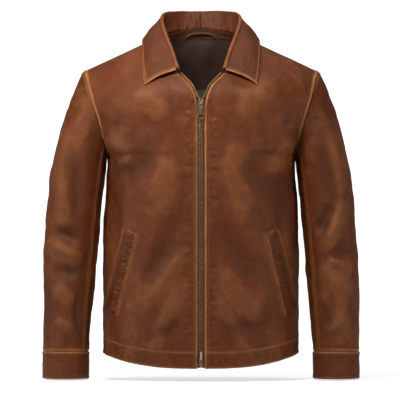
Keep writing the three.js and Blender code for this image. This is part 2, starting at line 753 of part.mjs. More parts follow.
function addSlider() {
  const top = -ZIP_TOP;
  const bottom = top - SLIDER_LENGTH;
  const frontFace = CHAIN_Y - CHAIN_THICK / 2 - RUNNING_GAP;
  const backFace = CHAIN_Y + CHAIN_THICK / 2 + RUNNING_GAP;
  const post = CHAIN_SLOT - RUNNING_GAP;
  const frontPlate = box(-SLIDER_HALF, SLIDER_HALF, frontFace - SLIDER_PLATE, frontFace, bottom, top);
  const backPlate = box(-SLIDER_HALF, SLIDER_HALF, backFace, backFace + SLIDER_PLATE, bottom, top);
  const postBlock = box(-post, post, frontFace - 0.5, backFace + 0.5, top - 7, top);
  const body = joined(joined(frontPlate, backPlate), postBlock);
  addMesh("zip_slider", joined(body, bail(frontFace - SLIDER_PLATE)), brass());
  return frontFace - SLIDER_PLATE;
}

// The arch on the slider's front that the pull hangs in.
const BAIL_TOP = -ZIP_TOP - 5;
const BAIL_OPENING = PULL_BAR + 2 * RUNNING_GAP + 1.5;
const BAIL_WALL = 1.3;

function bail(face) {
  const height = BAIL_OPENING + 2 * BAIL_WALL;
  const outer = box(-BAIL_HALF, BAIL_HALF, face - BAIL_REACH, face + 0.5, BAIL_TOP - height, BAIL_TOP);
  const inner = box(
    -BAIL_HALF - 1,
    BAIL_HALF + 1,
    face - BAIL_REACH + BAIL_WALL,
    face,
    BAIL_TOP - height + BAIL_WALL,
    BAIL_TOP - BAIL_WALL,
  );
  return cut(outer, inner);
}

// The pull hangs by its bar inside the bail; the bail's lower leg passes through the window.
function addPull(face) {
  const barZ = BAIL_TOP - BAIL_WALL - BAIL_OPENING / 2;
  const barY = face - (BAIL_REACH - BAIL_WALL) / 2;
  const top = barZ + PULL_BAR / 2;
  const half = PULL_WIDTH / 2;
  const y0 = barY - PULL_THICK / 2;
  const y1 = barY + PULL_THICK / 2;
  const plate = box(-half, half, y0, y1, top - PULL_LENGTH, top);
  const windowHalf = BAIL_HALF + RUNNING_GAP;
  const windowTop = top - PULL_BAR;
  const window = box(-windowHalf, windowHalf, y0 - 1, y1 + 1, windowTop - PULL_WINDOW, windowTop);
  const slotBottom = top - PULL_LENGTH + 2;
  const slot = box(-half + 2, half - 2, y0 - 1, y1 + 1, slotBottom, slotBottom + PULL_SLOT);
  addMesh("zip_pull", cut(cut(plate, window), slot), brass());
}

// Retainer box at the foot of the wearer's right chain, with the left chain's pin in it.
function addBoxAndPin() {
  const bottom = CHAIN_BOTTOM - GAP - BOX_HEIGHT;
  const y0 = CHAIN_Y - CHAIN_THICK / 2 - 0.6;
  const y1 = CHAIN_Y + CHAIN_THICK / 2 + 0.6;
  const half = CHAIN_HALF;
  const block = box(-half, half, y0, y1, bottom, CHAIN_BOTTOM - GAP);
  const pinX = CHAIN_HALF / 2 + 0.4;
  const pinBottom = bottom + 2;
  const bore = PIN_RADIUS + RUNNING_GAP;
  const socket = box(pinX - bore, pinX + bore, CHAIN_Y - bore, CHAIN_Y + bore, pinBottom - GAP, CHAIN_BOTTOM);
  addMesh("zip_box", cut(block, socket), brass());
  const pin = new THREE.CylinderGeometry(PIN_RADIUS, PIN_RADIUS, BOX_HEIGHT - 2 - GAP / 2, 8);
  pin.rotateX(Math.PI / 2);
  pin.translate(pinX, CHAIN_Y, pinBottom + (BOX_HEIGHT - 2 - GAP / 2) / 2);
  addMesh("zip_pin", onlyPositions(pin), brass());
}

addFrontPanels();
addBackPanel();
addPockets();
addFrontFacings();
addHemFacings();
addBodyLining();
addNeckFacing();
addSleeves();
addCollar();
addHangerLoop();
addZipChains();
addTopStops();
addPull(addSlider());
addBoxAndPin();

export default jacket;
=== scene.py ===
"""A brown leather zip-front jacket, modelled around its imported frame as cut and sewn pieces.

Lengths in this file are millimetres until a mesh is written, in the jacket's own frame: the origin is the
centre of the neck opening, +Z is up, the wearer looks along -Y, and +X is the wearer's left.
"""

import copy
import math

import bmesh
import bpy
import numpy as np
from mathutils import Matrix, Vector, kdtree, noise


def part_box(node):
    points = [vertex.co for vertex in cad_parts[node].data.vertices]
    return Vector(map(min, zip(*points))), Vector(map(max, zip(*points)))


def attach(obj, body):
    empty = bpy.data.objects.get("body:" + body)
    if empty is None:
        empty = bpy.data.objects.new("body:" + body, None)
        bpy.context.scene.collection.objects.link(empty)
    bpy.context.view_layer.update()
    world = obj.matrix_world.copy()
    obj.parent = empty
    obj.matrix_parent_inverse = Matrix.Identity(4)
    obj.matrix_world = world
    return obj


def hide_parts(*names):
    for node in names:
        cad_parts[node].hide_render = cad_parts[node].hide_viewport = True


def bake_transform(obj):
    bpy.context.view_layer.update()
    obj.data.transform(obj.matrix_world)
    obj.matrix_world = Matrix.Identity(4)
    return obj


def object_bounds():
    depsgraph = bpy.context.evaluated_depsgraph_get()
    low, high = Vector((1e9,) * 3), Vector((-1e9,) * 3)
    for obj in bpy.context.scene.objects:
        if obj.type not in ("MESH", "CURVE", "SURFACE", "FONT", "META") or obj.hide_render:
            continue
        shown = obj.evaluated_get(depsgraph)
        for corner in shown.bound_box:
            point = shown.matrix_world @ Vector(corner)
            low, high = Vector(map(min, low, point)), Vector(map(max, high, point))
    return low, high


bl_info = {
    "name": "Leather Jacket",
    "version": (1, 0, 0),
    "blender": (4, 5, 0),
    "location": "View3D > Sidebar > Jacket",
    "description": "Makes a waxed leather zip-front jacket from its cut pieces, zip and lining",
    "category": "Add Mesh",
}

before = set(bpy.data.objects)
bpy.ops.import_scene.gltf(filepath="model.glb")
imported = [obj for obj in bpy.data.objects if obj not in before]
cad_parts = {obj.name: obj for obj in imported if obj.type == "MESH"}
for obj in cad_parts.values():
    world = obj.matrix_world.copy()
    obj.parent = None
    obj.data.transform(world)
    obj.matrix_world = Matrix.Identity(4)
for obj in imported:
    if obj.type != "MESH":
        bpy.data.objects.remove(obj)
cad_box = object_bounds()

MM = 0.001
SIDES = ("left", "right")


def node_box(node):
    """Lowest and highest corner of a frame node, in millimetres."""
    low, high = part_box(node)
    return low / MM, high / MM


# ---- Sizes read from the frame ----
FRONT_LOW = node_box("front_panel_left")[0]
BACK_LOW, BACK_HIGH = node_box("back_panel")
SLEEVE_LOW, SLEEVE_HIGH = node_box("sleeve_top_left")
UNDER_LOW = node_box("sleeve_under_left")[0]
CUFF_LOW, CUFF_HIGH = node_box("cuff_left")
TEETH_LOW = node_box("zip_teeth_left")[0]
SLIDER_LOW, SLIDER_HIGH = node_box("zip_slider")
PULL_LOW, PULL_HIGH = node_box("zip_pull")
ZIP_BOX_LOW, ZIP_BOX_HIGH = node_box("zip_box")
PIN_LOW, PIN_HIGH = node_box("zip_pin")
STOP_LOW, STOP_HIGH = node_box("zip_top_stop_left")
LOOP_LOW, LOOP_HIGH = node_box("hanger_loop")
NECK_FACING_LOW, NECK_FACING_HIGH = node_box("neck_facing")

GAP = 0.4  # between neighbouring pieces
LEATHER = 1.3
SKIVED = 0.7  # pared leather of the under collar
LINING = 0.8
TAPE_THICK = 0.7
CHAIN_THICK = 3.4
BAG_PLY = 0.6
BAG_HOLLOW = 3.0
PLY_SLACK = 2.4  # how far an inner ply hangs clear of the outer one

NECK_HALF = 85.0
NECK_BACK_DEPTH = 70.0
NECK_BACK_RISE = BACK_HIGH.z
SHOULDER_HALF = BACK_HIGH.x + 0.2
TIP_Z = SLEEVE_HIGH.z
SHOULDER_SLOPE = -TIP_Z / (SHOULDER_HALF - NECK_HALF)
ARMHOLE_DEPTH = 164.0
ARMHOLE_WIDTH = 134.0
ARMPIT_Z = TIP_Z - ARMHOLE_DEPTH
CHEST_HALF = UNDER_LOW.x - 0.2
WAIST_EXTRA = 8.5
FRONT_DEPTH = -FRONT_LOW.y
BACK_DEPTH = BACK_HIGH.y + 0.2
SHOULDER_ROUND = 120.0
HEM_SIDE = BACK_LOW.z
HEM_FRONT = FRONT_LOW.z
HEM_DIP = HEM_SIDE - HEM_FRONT
HEM_BAND = 32.0
EDGE_HALF = FRONT_LOW.x
ZIP_TOP = -SLIDER_HIGH.z
NECK_DROP = 77.0
NECK_FRONT_HALF = 45.0
CHAIN_HALF = 4.4
CHAIN_BOTTOM = TEETH_LOW.z
TAPE_WIDTH = 14.0
CUFF_TOP = SLEEVE_LOW.z
CUFF_HEIGHT = CUFF_HIGH.z - CUFF_LOW.z
CUFF_PROUD = 1.0
SLEEVE_FLARE = CUFF_HIGH.x - CUFF_PROUD - SHOULDER_HALF
CUFF_HALF = 45.5
CUFF_HALF_DEPTH = 50.0
BICEP_HALF_DEPTH = 72.0
FOREARM_FORWARD = 26.0
FRONT_SLEEVE_SEAM = 140.0
BACK_SLEEVE_SEAM = -115.0
STAND_HEIGHT = 32.0
ROLL_HALF = 4.4
FALL_HALF = 116.0
POINT_HALF = 112.0
POINT_DROP = 98.0
COLLAR_LIFT = 7.4
MOUTH_TOP_X = 148.0
MOUTH_TOP_DROP = 392.0
MOUTH_LENGTH = 156.0
MOUTH_TILT = math.radians(14.0)
MOUTH_WIDTH = 3.0
WELT_WIDTH = 17.0
WELT_EXTRA = 5.0
BAG_REACH = 76.0
BAG_BELOW = 20.0
FACING_WIDTH = 48.0
ZIP_STITCH = 6.0  # each row of topstitching, from its seam or edge
COLLAR_STITCH = 6.4
CUFF_STITCH = 7.0
ARMHOLE_STITCHES = (3.0, 9.5)
SHOULDER_STITCH = 6.0
CUFF_SEAM_STITCH = 6.0
SLEEVE_STITCH = 3.0
NECK_FACING_STITCH = 3.0
LOOP_BAND = 4.0
TOOTH_LENGTH = 1.25  # along the chain
SLIDER_FACE = 4.2  # from the pull's bail back to the slider's front plate
SLIDER_PLATE = 1.5


# ---- Properties a user can change ----
def length(name, description, default):
    return bpy.props.FloatProperty(name=name, description=description, default=default * MM, unit="LENGTH")


def colour(name, description, default):
    return bpy.props.StringProperty(name=name, description=description, default=default)


class JacketSizes(bpy.types.PropertyGroup):
    """Sizes of the leatherwork's fine detail"""

    thickness: length("Leather thickness", "Thickness of one ply of the outer leather", LEATHER)
    stitch_pitch: length("Stitch pitch", "Length of one topstitch and the hole after it", 3.6)
    thread: length("Thread", "Thickness of the topstitching thread", 0.75)
    tooth_pitch: length("Tooth pitch", "Distance from one zip tooth to the next on the same side", 2.4)
    fold_depth: bpy.props.FloatProperty(
        name="Fold depth",
        description="Scale of the soft folds that wear has left in the leather",
        default=1.4,
        subtype="FACTOR",
        unit="NONE",
    )


class JacketColours(bpy.types.PropertyGroup):
    """Colours of the jacket's materials, as sRGB hex"""

    # leather_deep is also the colour of the painted shade, and leather_worn that of the painted light on fold crests.
    leather_deep: colour("Leather, deep", "Waxed leather in its darkest patches", "331507")
    leather_body: colour("Leather, body", "Waxed leather over most of the jacket", "612d10")
    leather_pulled: colour("Leather, pulled up", "Where the wax has moved and the leather looks paler", "824620")
    leather_worn: colour("Leather, worn", "Rubbed edges and seams", "a86a3e")
    facing: colour("Facing leather", "Leather inside the fronts, hem, cuffs and neck", "4d2d1d")
    satin: colour("Satin lining", "Lining of the body and sleeves", "3f2b22")
    cotton: colour("Pocket cotton", "Pocket bags", "241a14")
    tape: colour("Zip tape", "Woven zip tape", "22160f")
    brass: colour("Brass", "Antique brass of the zip", "a48a66")
    thread: colour("Thread", "Topstitching thread", "9a6238")


def sizes():
    return bpy.context.scene.jacket_sizes


def colours():
    return bpy.context.scene.jacket_colours


# ---- Small maths helpers, on numbers or arrays ----
def lerp(a, b, t):
    return a + (b - a) * t


def clamp01(t):
    return np.clip(t, 0.0, 1.0)


def smooth(t):
    t = clamp01(t)
    return t * t * (3 - 2 * t)


def bump_at(distance, centre, width):
    """A bell of height 1 round a distance."""
    return np.exp(-(((distance - centre) / width) ** 2))


def points(x, y, z):
    x, y, z = np.broadcast_arrays(x, y, z)
    return np.stack([x, y, z], axis=-1).astype(float)


def unit(vectors):
    return vectors / np.maximum(np.linalg.norm(vectors, axis=-1, keepdims=True), 1e-12)


def fine_noise(places, scale, offset=0.0, octaves=3):
    """Smooth noise from about -1 to 1 at each place, with features about `scale` mm across."""
    flat = places.reshape(-1, 3) / scale
    values = [noise.fractal((x + offset, y, z), 1.0, 2.0, octaves) for x, y, z in flat]
    return np.array(values).reshape(places.shape[:-1])


def along_line(marks, reached, line):
    """Points of a line where its running values `reached` come to the marks."""
    return np.stack([np.interp(marks, reached, column) for column in line.T], axis=-1)


def ripples_on(sheet, squeeze, size, seed, octaves=2):
    """Noise on a sheet with its features drawn out along the axes that `squeeze` makes small."""
    return fine_noise(sheet.base * np.array(squeeze), size, seed, octaves)


class SmoothCurve:
    """A centripetal Catmull-Rom curve through points."""

    PER_SPAN = 30

    def __init__(self, *knots):
        knots = [np.array(k, float) for k in knots]
        padded = [2 * knots[0] - knots[1], *knots, 2 * knots[-1] - knots[-2]]
        share = np.linspace(0, 1, self.PER_SPAN, endpoint=False)[:, None]
        spans = []
        for p0, p1, p2, p3 in zip(padded, padded[1:], padded[2:], padded[3:]):
            d0, d1, d2 = (math.sqrt(np.linalg.norm(b - a)) for a, b in ((p0, p1), (p1, p2), (p2, p3)))
            t1 = ((p1 - p0) / d0 - (p2 - p0) / (d0 + d1) + (p2 - p1) / d1) * d1
            t2 = ((p2 - p1) / d1 - (p3 - p1) / (d1 + d2) + (p3 - p2) / d2) * d1
            cubic = (2 * p1 - 2 * p2 + t1 + t2) * share**3
            spans.append(cubic + (-3 * p1 + 3 * p2 - 2 * t1 - t2) * share**2 + t1 * share + p1)
        self.line = np.vstack([*spans, knots[-1][None]])
        self.share = np.linspace(0, 1, len(self.line))
        steps = np.linalg.norm(np.diff(self.line, axis=0), axis=1)
        self.length = np.concatenate([[0], np.cumsum(steps)]) / steps.sum()

    def at(self, t):
        """Point at t, with each knot the same share of t apart."""
        return along_line(t, self.share, self.line)

    def along(self, t):
        """Point at a share t of the curve's length."""
        return along_line(t, self.length, self.line)


# ---- The torso's form ----
def shoulder_line(x):
    return -(np.abs(x) - NECK_HALF) * SHOULDER_SLOPE


def neck_round(x):
    return np.maximum(0, 1 - (x / NECK_HALF) ** 2)


def back_top(x):
    return np.where(np.abs(x) < NECK_HALF, NECK_BACK_RISE * neck_round(x), shoulder_line(x))


ARMHOLE_LEAN = (SHOULDER_HALF - CHEST_HALF) / ARMHOLE_DEPTH
ARMHOLE_NORMAL = unit(np.array([1.0, 0.0, -ARMHOLE_LEAN]))
TIP = np.array([SHOULDER_HALF, 0.0, TIP_Z])


def armhole_x(z):
    return SHOULDER_HALF + (z - TIP_Z) * ARMHOLE_LEAN


def side_x(z):
    below = CHEST_HALF + WAIST_EXTRA * smooth((ARMPIT_Z - z) / (0.85 * ARMHOLE_DEPTH))
    return np.where(z > ARMPIT_Z, armhole_x(z), below)


def armhole_half(z):
    t = clamp01((z - ARMPIT_Z) / (0.55 * ARMHOLE_DEPTH))
    return (ARMHOLE_WIDTH / 2) * np.sqrt(1 - (1 - t) ** 2)


def body_depth(x, z, depth):
    turn = lerp(2, 1.15, smooth((z - ARMPIT_Z) / 60))
    reach = np.minimum(1, np.abs(x) / side_x(z))
    side = armhole_half(z)
    return side + (depth - side) * (1 - reach**3) ** (1 / turn)


def over_shoulder(drop):
    t = clamp01(drop / SHOULDER_ROUND)
    return np.sqrt(1 - (1 - t) ** 2)


def front_depth_at(z):
    return FRONT_DEPTH - 0.5 * FRONT_DEPTH * smooth((z + ZIP_TOP) / (0.95 * ZIP_TOP))


def back_depth_at(z):
    blade = -0.55 * ARMHOLE_DEPTH
    waist = 0.1 * BACK_DEPTH * smooth((blade - z) / (-0.5 * HEM_SIDE))
    neck = 0.22 * BACK_DEPTH * smooth((z - blade) / -blade)
    return BACK_DEPTH - waist - neck


def front_at(x, z):
    depth = body_depth(x, z, front_depth_at(z)) * over_shoulder(shoulder_line(x) - z)
    return points(x, np.minimum(-GAP / 2, -depth), z)


def back_at(x, z):
    neck = NECK_BACK_DEPTH * neck_round(x) ** 0.75
    drop = back_top(x) - z
    share = lerp(over_shoulder(drop), clamp01(drop / SHOULDER_ROUND), neck_round(x))
    depth = lerp(neck, body_depth(x, z, back_depth_at(z)), share)
    return points(x, np.maximum(GAP / 2, depth), z)


HEM_ROW, ARMPIT_ROW, ZIP_ROW = 1 / 18, 11 / 18, 13 / 18
neckline = SmoothCurve(
    (EDGE_HALF, 0, -ZIP_TOP - 12),
    (0.3 * NECK_FRONT_HALF, 0, -lerp(NECK_DROP, ZIP_TOP, 0.84)),
    (0.5 * NECK_FRONT_HALF, 0, -lerp(NECK_DROP, ZIP_TOP, 0.45)),
    (NECK_FRONT_HALF, 0, -NECK_DROP),
    (lerp(NECK_FRONT_HALF, NECK_HALF, 0.72), 0, -0.5 * NECK_DROP),
    (NECK_HALF, 0, 0),
)
NECK_CORNER = 0.46


def front_edge(v):
    band_top = HEM_FRONT + HEM_BAND
    hem = lerp(HEM_FRONT, band_top, v / HEM_ROW)
    straight = lerp(band_top, -ZIP_TOP - 12, (v - HEM_ROW) / (ZIP_ROW - HEM_ROW))
    z = np.where(v <= HEM_ROW, hem, straight)
    neck = neckline.along(clamp01((v - ZIP_ROW) / (1 - ZIP_ROW)))
    return np.where((v <= ZIP_ROW)[..., None], points(EDGE_HALF, 0, z), neck)


def outer_edge(v):
    band_top = HEM_SIDE + HEM_BAND
    z = lerp(HEM_SIDE, band_top, v / HEM_ROW)
    side = (v - HEM_ROW) / (ARMPIT_ROW - HEM_ROW)
    armhole = (v - ARMPIT_ROW) / (1 - ARMPIT_ROW)
    z = np.where(side > 0, lerp(band_top, ARMPIT_Z, side), z)
    z = np.where(armhole > 0, lerp(ARMPIT_Z, TIP_Z, armhole), z)
    return points(side_x(z), 0, z)


def front_row(s, v):
    point = lerp(front_edge(v), outer_edge(v), s[..., None])
    share = clamp01(s)
    hem_curve = HEM_DIP * (share - share**2.6) * np.maximum(0, 1 - v * 2)
    return front_at(point[..., 0], point[..., 2] - hem_curve)


def row_width(v):
    return outer_edge(v)[..., 0] - front_edge(v)[..., 0]


FACING_SHARE = 2 / 9
SEAM_SHARE = 0.004  # what a seam takes from u or v


def front_surface(u, v):
    """From the zip edge (u = 0) round to the side seam, and from the hem (v = 0) up to the shoulder seam."""
    facing = FACING_WIDTH / row_width(v)
    beyond = lerp(facing, 1, np.sin((u - FACING_SHARE) / (1 - FACING_SHARE) * math.pi / 2))
    return front_row(np.where(u <= FACING_SHARE, facing * u / FACING_SHARE, beyond), v)


def back_row(u, v):
    s = np.sin((1 - 2 * u) * math.pi / 2)
    outer = outer_edge(v)
    middle = lerp(HEM_SIDE, back_top(0), (outer[..., 2] - HEM_SIDE) / (TIP_Z - HEM_SIDE))
    bow = back_top(SHOULDER_HALF * s) - lerp(back_top(0), TIP_Z, np.abs(s))
    return back_at(outer[..., 0] * s, lerp(middle, outer[..., 2], np.abs(s)) + bow * v**2)


def past_armhole(p):
    return (points(np.abs(p[..., 0]), p[..., 1], p[..., 2]) - TIP) @ ARMHOLE_NORMAL


def keep_torso(p):
    over = np.maximum(0, past_armhole(p) + GAP / 2) * (p[..., 2] >= ARMPIT_Z)
    p[..., 0] -= np.sign(p[..., 0]) * over * ARMHOLE_NORMAL[0]
    p[..., 2] -= over * ARMHOLE_NORMAL[2]
    return p


def keep_front(p):
    p[..., 1] = np.minimum(p[..., 1], -GAP / 2)
    return keep_torso(p)


def keep_back(p):
    p[..., 1] = np.maximum(p[..., 1], GAP / 2)
    return keep_torso(p)


# ---- The sleeve's form ----
def sleeve_ring(t):
    f = t**1.35
    outer_x = SHOULDER_HALF + SLEEVE_FLARE * (1 - (1 - t) ** 3.4)
    inner_x = lerp(CHEST_HALF, SHOULDER_HALF + SLEEVE_FLARE - 2 * CUFF_HALF, f**0.85)
    return points(outer_x, 0, lerp(TIP_Z, CUFF_TOP, t)), points(inner_x, 0, lerp(ARMPIT_Z, CUFF_TOP, f))


def sleeve_at(angle, t):
    outer, inner = sleeve_ring(t)
    across = 0.5 + 0.5 * np.cos(angle)
    point = lerp(inner, outer, across[..., None])
    half_depth = lerp(BICEP_HALF_DEPTH, CUFF_HALF_DEPTH, smooth((t - 0.15) / 0.85))
    forward = -FOREARM_FORWARD * smooth((t - 0.35) / 0.65)
    head_z = lerp(ARMPIT_Z, TIP_Z, across)
    head_x = armhole_x(head_z)
    head_y = np.where(np.sin(angle) > 0, front_at(head_x, head_z)[..., 1], back_at(head_x, head_z)[..., 1])
    point[..., 1] = lerp(head_y, forward - half_depth * np.sin(angle), smooth(t / 0.25))
    return point


def keep_sleeve(p):
    short = np.maximum(0, GAP / 2 - past_armhole(p))
    return p + short[..., None] * ARMHOLE_NORMAL


TOP_SHARE = 11 / 16


def sleeve_angle(u):
    top = lerp(BACK_SLEEVE_SEAM, FRONT_SLEEVE_SEAM, u / TOP_SHARE)
    under = lerp(FRONT_SLEEVE_SEAM, BACK_SLEEVE_SEAM + 360, (u - TOP_SHARE) / (1 - TOP_SHARE))
    return np.radians(np.where(u <= TOP_SHARE, top, under))


def sleeve_surface(u, v):
    return sleeve_at(sleeve_angle(u), v)


def cuff_surface(u, v):
    """Round the cuff as u grows, from its seam with the sleeve (v = 0) down to its edge (v = 1)."""
    point = sleeve_at(sleeve_angle(u), np.ones_like(u))
    point[..., 2] = CUFF_HIGH.z - v * CUFF_HEIGHT
    return point


# ---- The collar's form: s runs from the centre back to the front end ----
def on_neckline(share):
    x, _, z = neckline.along(share)
    return front_at(x, z)


neck_seam = SmoothCurve(
    back_at(0.0, NECK_BACK_RISE),
    back_at(0.5 * NECK_HALF, back_top(0.5 * NECK_HALF)),
    back_at(0.88 * NECK_HALF, back_top(0.88 * NECK_HALF)),
    (NECK_HALF, 0, 0),
    on_neckline(0.82),
    on_neckline(0.64),
    on_neckline(NECK_CORNER),
)
ROLL_TOP = NECK_BACK_RISE + STAND_HEIGHT
roll_line = SmoothCurve(
    (0, NECK_BACK_DEPTH + 10, ROLL_TOP),
    (0.5 * NECK_HALF, NECK_BACK_DEPTH + 3, ROLL_TOP),
    (0.86 * NECK_HALF, 0.6 * NECK_BACK_DEPTH, ROLL_TOP - 5),
    (0.92 * NECK_HALF, 0.1 * NECK_BACK_DEPTH, 0.6 * ROLL_TOP),
    (0.82 * NECK_HALF, -0.5 * NECK_BACK_DEPTH, 0),
    (lerp(NECK_FRONT_HALF, NECK_HALF, 0.3), front_at(0.0, -0.5 * NECK_DROP)[1] + 2, -0.42 * NECK_DROP),
    (NECK_FRONT_HALF + 1, front_at(0.0, -NECK_DROP)[1] - 3, -0.9 * NECK_DROP),
)


def on_front(x, z):
    return front_at(x, z) + np.array([0, -COLLAR_LIFT, 0])


def on_back(x, z):
    return back_at(x, z) + np.array([0, COLLAR_LIFT, 0])


fall_edge = SmoothCurve(
    on_back(0.0, -12.0),
    on_back(0.55 * FALL_HALF, -13.0),
    on_back(0.85 * FALL_HALF, -22.0),
    (FALL_HALF + 1, 0, shoulder_line(FALL_HALF) + COLLAR_LIFT),
    on_front(FALL_HALF + 2, -0.42 * POINT_DROP),
    on_front(FALL_HALF, -0.74 * POINT_DROP),
    on_front(POINT_HALF, -POINT_DROP),
)
STAND_SHARE, ROLL_SHARE = 2 / 9, 5 / 9


def collar_at(s, r):
    """Up the stand (r from 0), over the roll, and down the fall (to r = 1)."""
    roll, edge = roll_line.at(s), fall_edge.at(s)
    seam = neck_seam.at(s) + np.array([0, 0, 3 * GAP])
    outwards = edge - seam
    outwards[..., 2] = 0
    outwards = unit(outwards)
    inside, outside = roll - ROLL_HALF * outwards, roll + ROLL_HALF * outwards
    stand = lerp(seam, inside, clamp01(r / STAND_SHARE)[..., None])
    angle = math.pi * clamp01((r - STAND_SHARE) / (ROLL_SHARE - STAND_SHARE))
    over = roll - ROLL_HALF * np.cos(angle)[..., None] * outwards
    over[..., 2] += ROLL_HALF * np.sin(angle)
    down = clamp01((r - ROLL_SHARE) / (1 - ROLL_SHARE))
    belly = 3 * np.sin(math.pi * down)
    fall = lerp(outside, edge, down[..., None]) + belly[..., None] * outwards
    fall[..., 2] += belly
    return np.where((r < STAND_SHARE)[..., None], stand, np.where((r < ROLL_SHARE)[..., None], over, fall))


def pocket_at(p, q):
    """p runs down the pocket mouth, q from it towards the zip."""
    x = MOUTH_TOP_X + p * math.sin(MOUTH_TILT) - q * math.cos(MOUTH_TILT)
    z = -MOUTH_TOP_DROP - p * math.cos(MOUTH_TILT) - q * math.sin(MOUTH_TILT)
    return front_at(x, z)


# ---- Folds ----
def fold(places, start, end, width, height, ends=0.35):
    """A ridge (or, below 0, a hollow) from start to end, seen from the front, as (x, z)."""
    start, end = np.array(start, float), np.array(end, float)
    run = end - start
    length = np.linalg.norm(run)
    run /= length
    flat = places[..., [0, 2]] - start
    share = (flat @ run) / length
    off = flat @ np.array([-run[1], run[0]])
    taper = smooth(share / ends) * smooth((1 - share) / ends)
    return height * taper * np.exp(-((off / width) ** 2))


# Soft folds of the fronts: start, end, width and height, in millimetres.
FRONT_FOLDS = {
    "left": (
        ((20, -430), (130, -600), 17, 2.6),
        ((24, -500), (100, -640), 13, 1.8),
        ((30, -360), (120, -520), 22, -2.0),
        ((70, -250), (178, -330), 26, -2.6),
        ((60, -150), (150, -110), 22, 1.6),
        ((190, -200), (120, -300), 18, 2.4),
        ((180, -250), (150, -420), 16, -2.2),
        ((30, -590), (170, -560), 15, -1.8),
        ((60, -180), (90, -420), 26, 1.8),
    ),
    "right": (
        ((18, -410), (120, -560), 18, 2.8),
        ((20, -470), (110, -640), 15, 2.2),
        ((26, -330), (110, -500), 20, -2.2),
        ((24, -560), (120, -610), 12, -1.8),
        ((80, -240), (176, -300), 22, -3.0),
        ((192, -190), (130, -270), 16, 2.6),
        ((185, -270), (160, -430), 15, -2.0),
        ((50, -160), (140, -120), 20, 1.6),
        ((70, -200), (80, -400), 24, 1.6),
    ),
}
BACK_FOLDS = (
    ((-170, -200), (-70, -330), 24, 2.4),
    ((170, -210), (80, -350), 24, 2.4),
    ((-190, -260), (-150, -460), 16, -2.2),
    ((190, -250), (155, -450), 16, -2.2),
    ((-60, -150), (-40, -420), 28, 1.8),
    ((70, -170), (50, -460), 28, 1.8),
    ((-130, -450), (-20, -600), 22, 2.2),
    ((120, -470), (10, -610), 20, 2.0),
    ((-100, -540), (120, -560), 26, -1.6),
)
# Folds of the sleeves' front and back, on the wearer's left; x is from the body's middle.
SLEEVE_FOLDS = {
    "left": (
        ((285, -320), (246, -440), 11, 4.6),
        ((262, -330), (228, -400), 13, -4.0),
        ((300, -400), (262, -450), 13, -3.6),
        ((250, -440), (306, -470), 12, 3.0),
        ((236, -455), (300, -520), 14, 2.2),
        ((256, -180), (284, -330), 12, 2.2),
        ((232, -200), (262, -350), 13, -2.2),
        ((288, -480), (270, -600), 12, 1.8),
        ((240, -590), (300, -560), 9, 1.5),
        ((236, -520), (262, -600), 9, -1.6),
    ),
    "right": (
        ((312, -405), (230, -452), 13, 4.8),
        ((298, -385), (236, -410), 13, -4.0),
        ((300, -462), (238, -478), 11, -3.2),
        ((286, -250), (268, -400), 12, 2.6),
        ((254, -220), (240, -380), 13, -2.6),
        ((300, -490), (246, -540), 13, 2.4),
        ((240, -500), (250, -600), 9, -1.8),
        ((296, -560), (250, -590), 9, 1.6),
        ((262, -160), (300, -320), 12, 2.0),
    ),
}


def soft_folds(places, folds, seed):
    """Named folds with the small unevenness of worn leather."""
    total = sum(fold(places, *each) for each in folds)
    stretched = places * np.array([1.0, 1.0, 0.7])
    total = total + 1.0 * fine_noise(stretched, 55, seed) + 0.3 * fine_noise(stretched, 16, seed + 7)
    return total * sizes().fold_depth


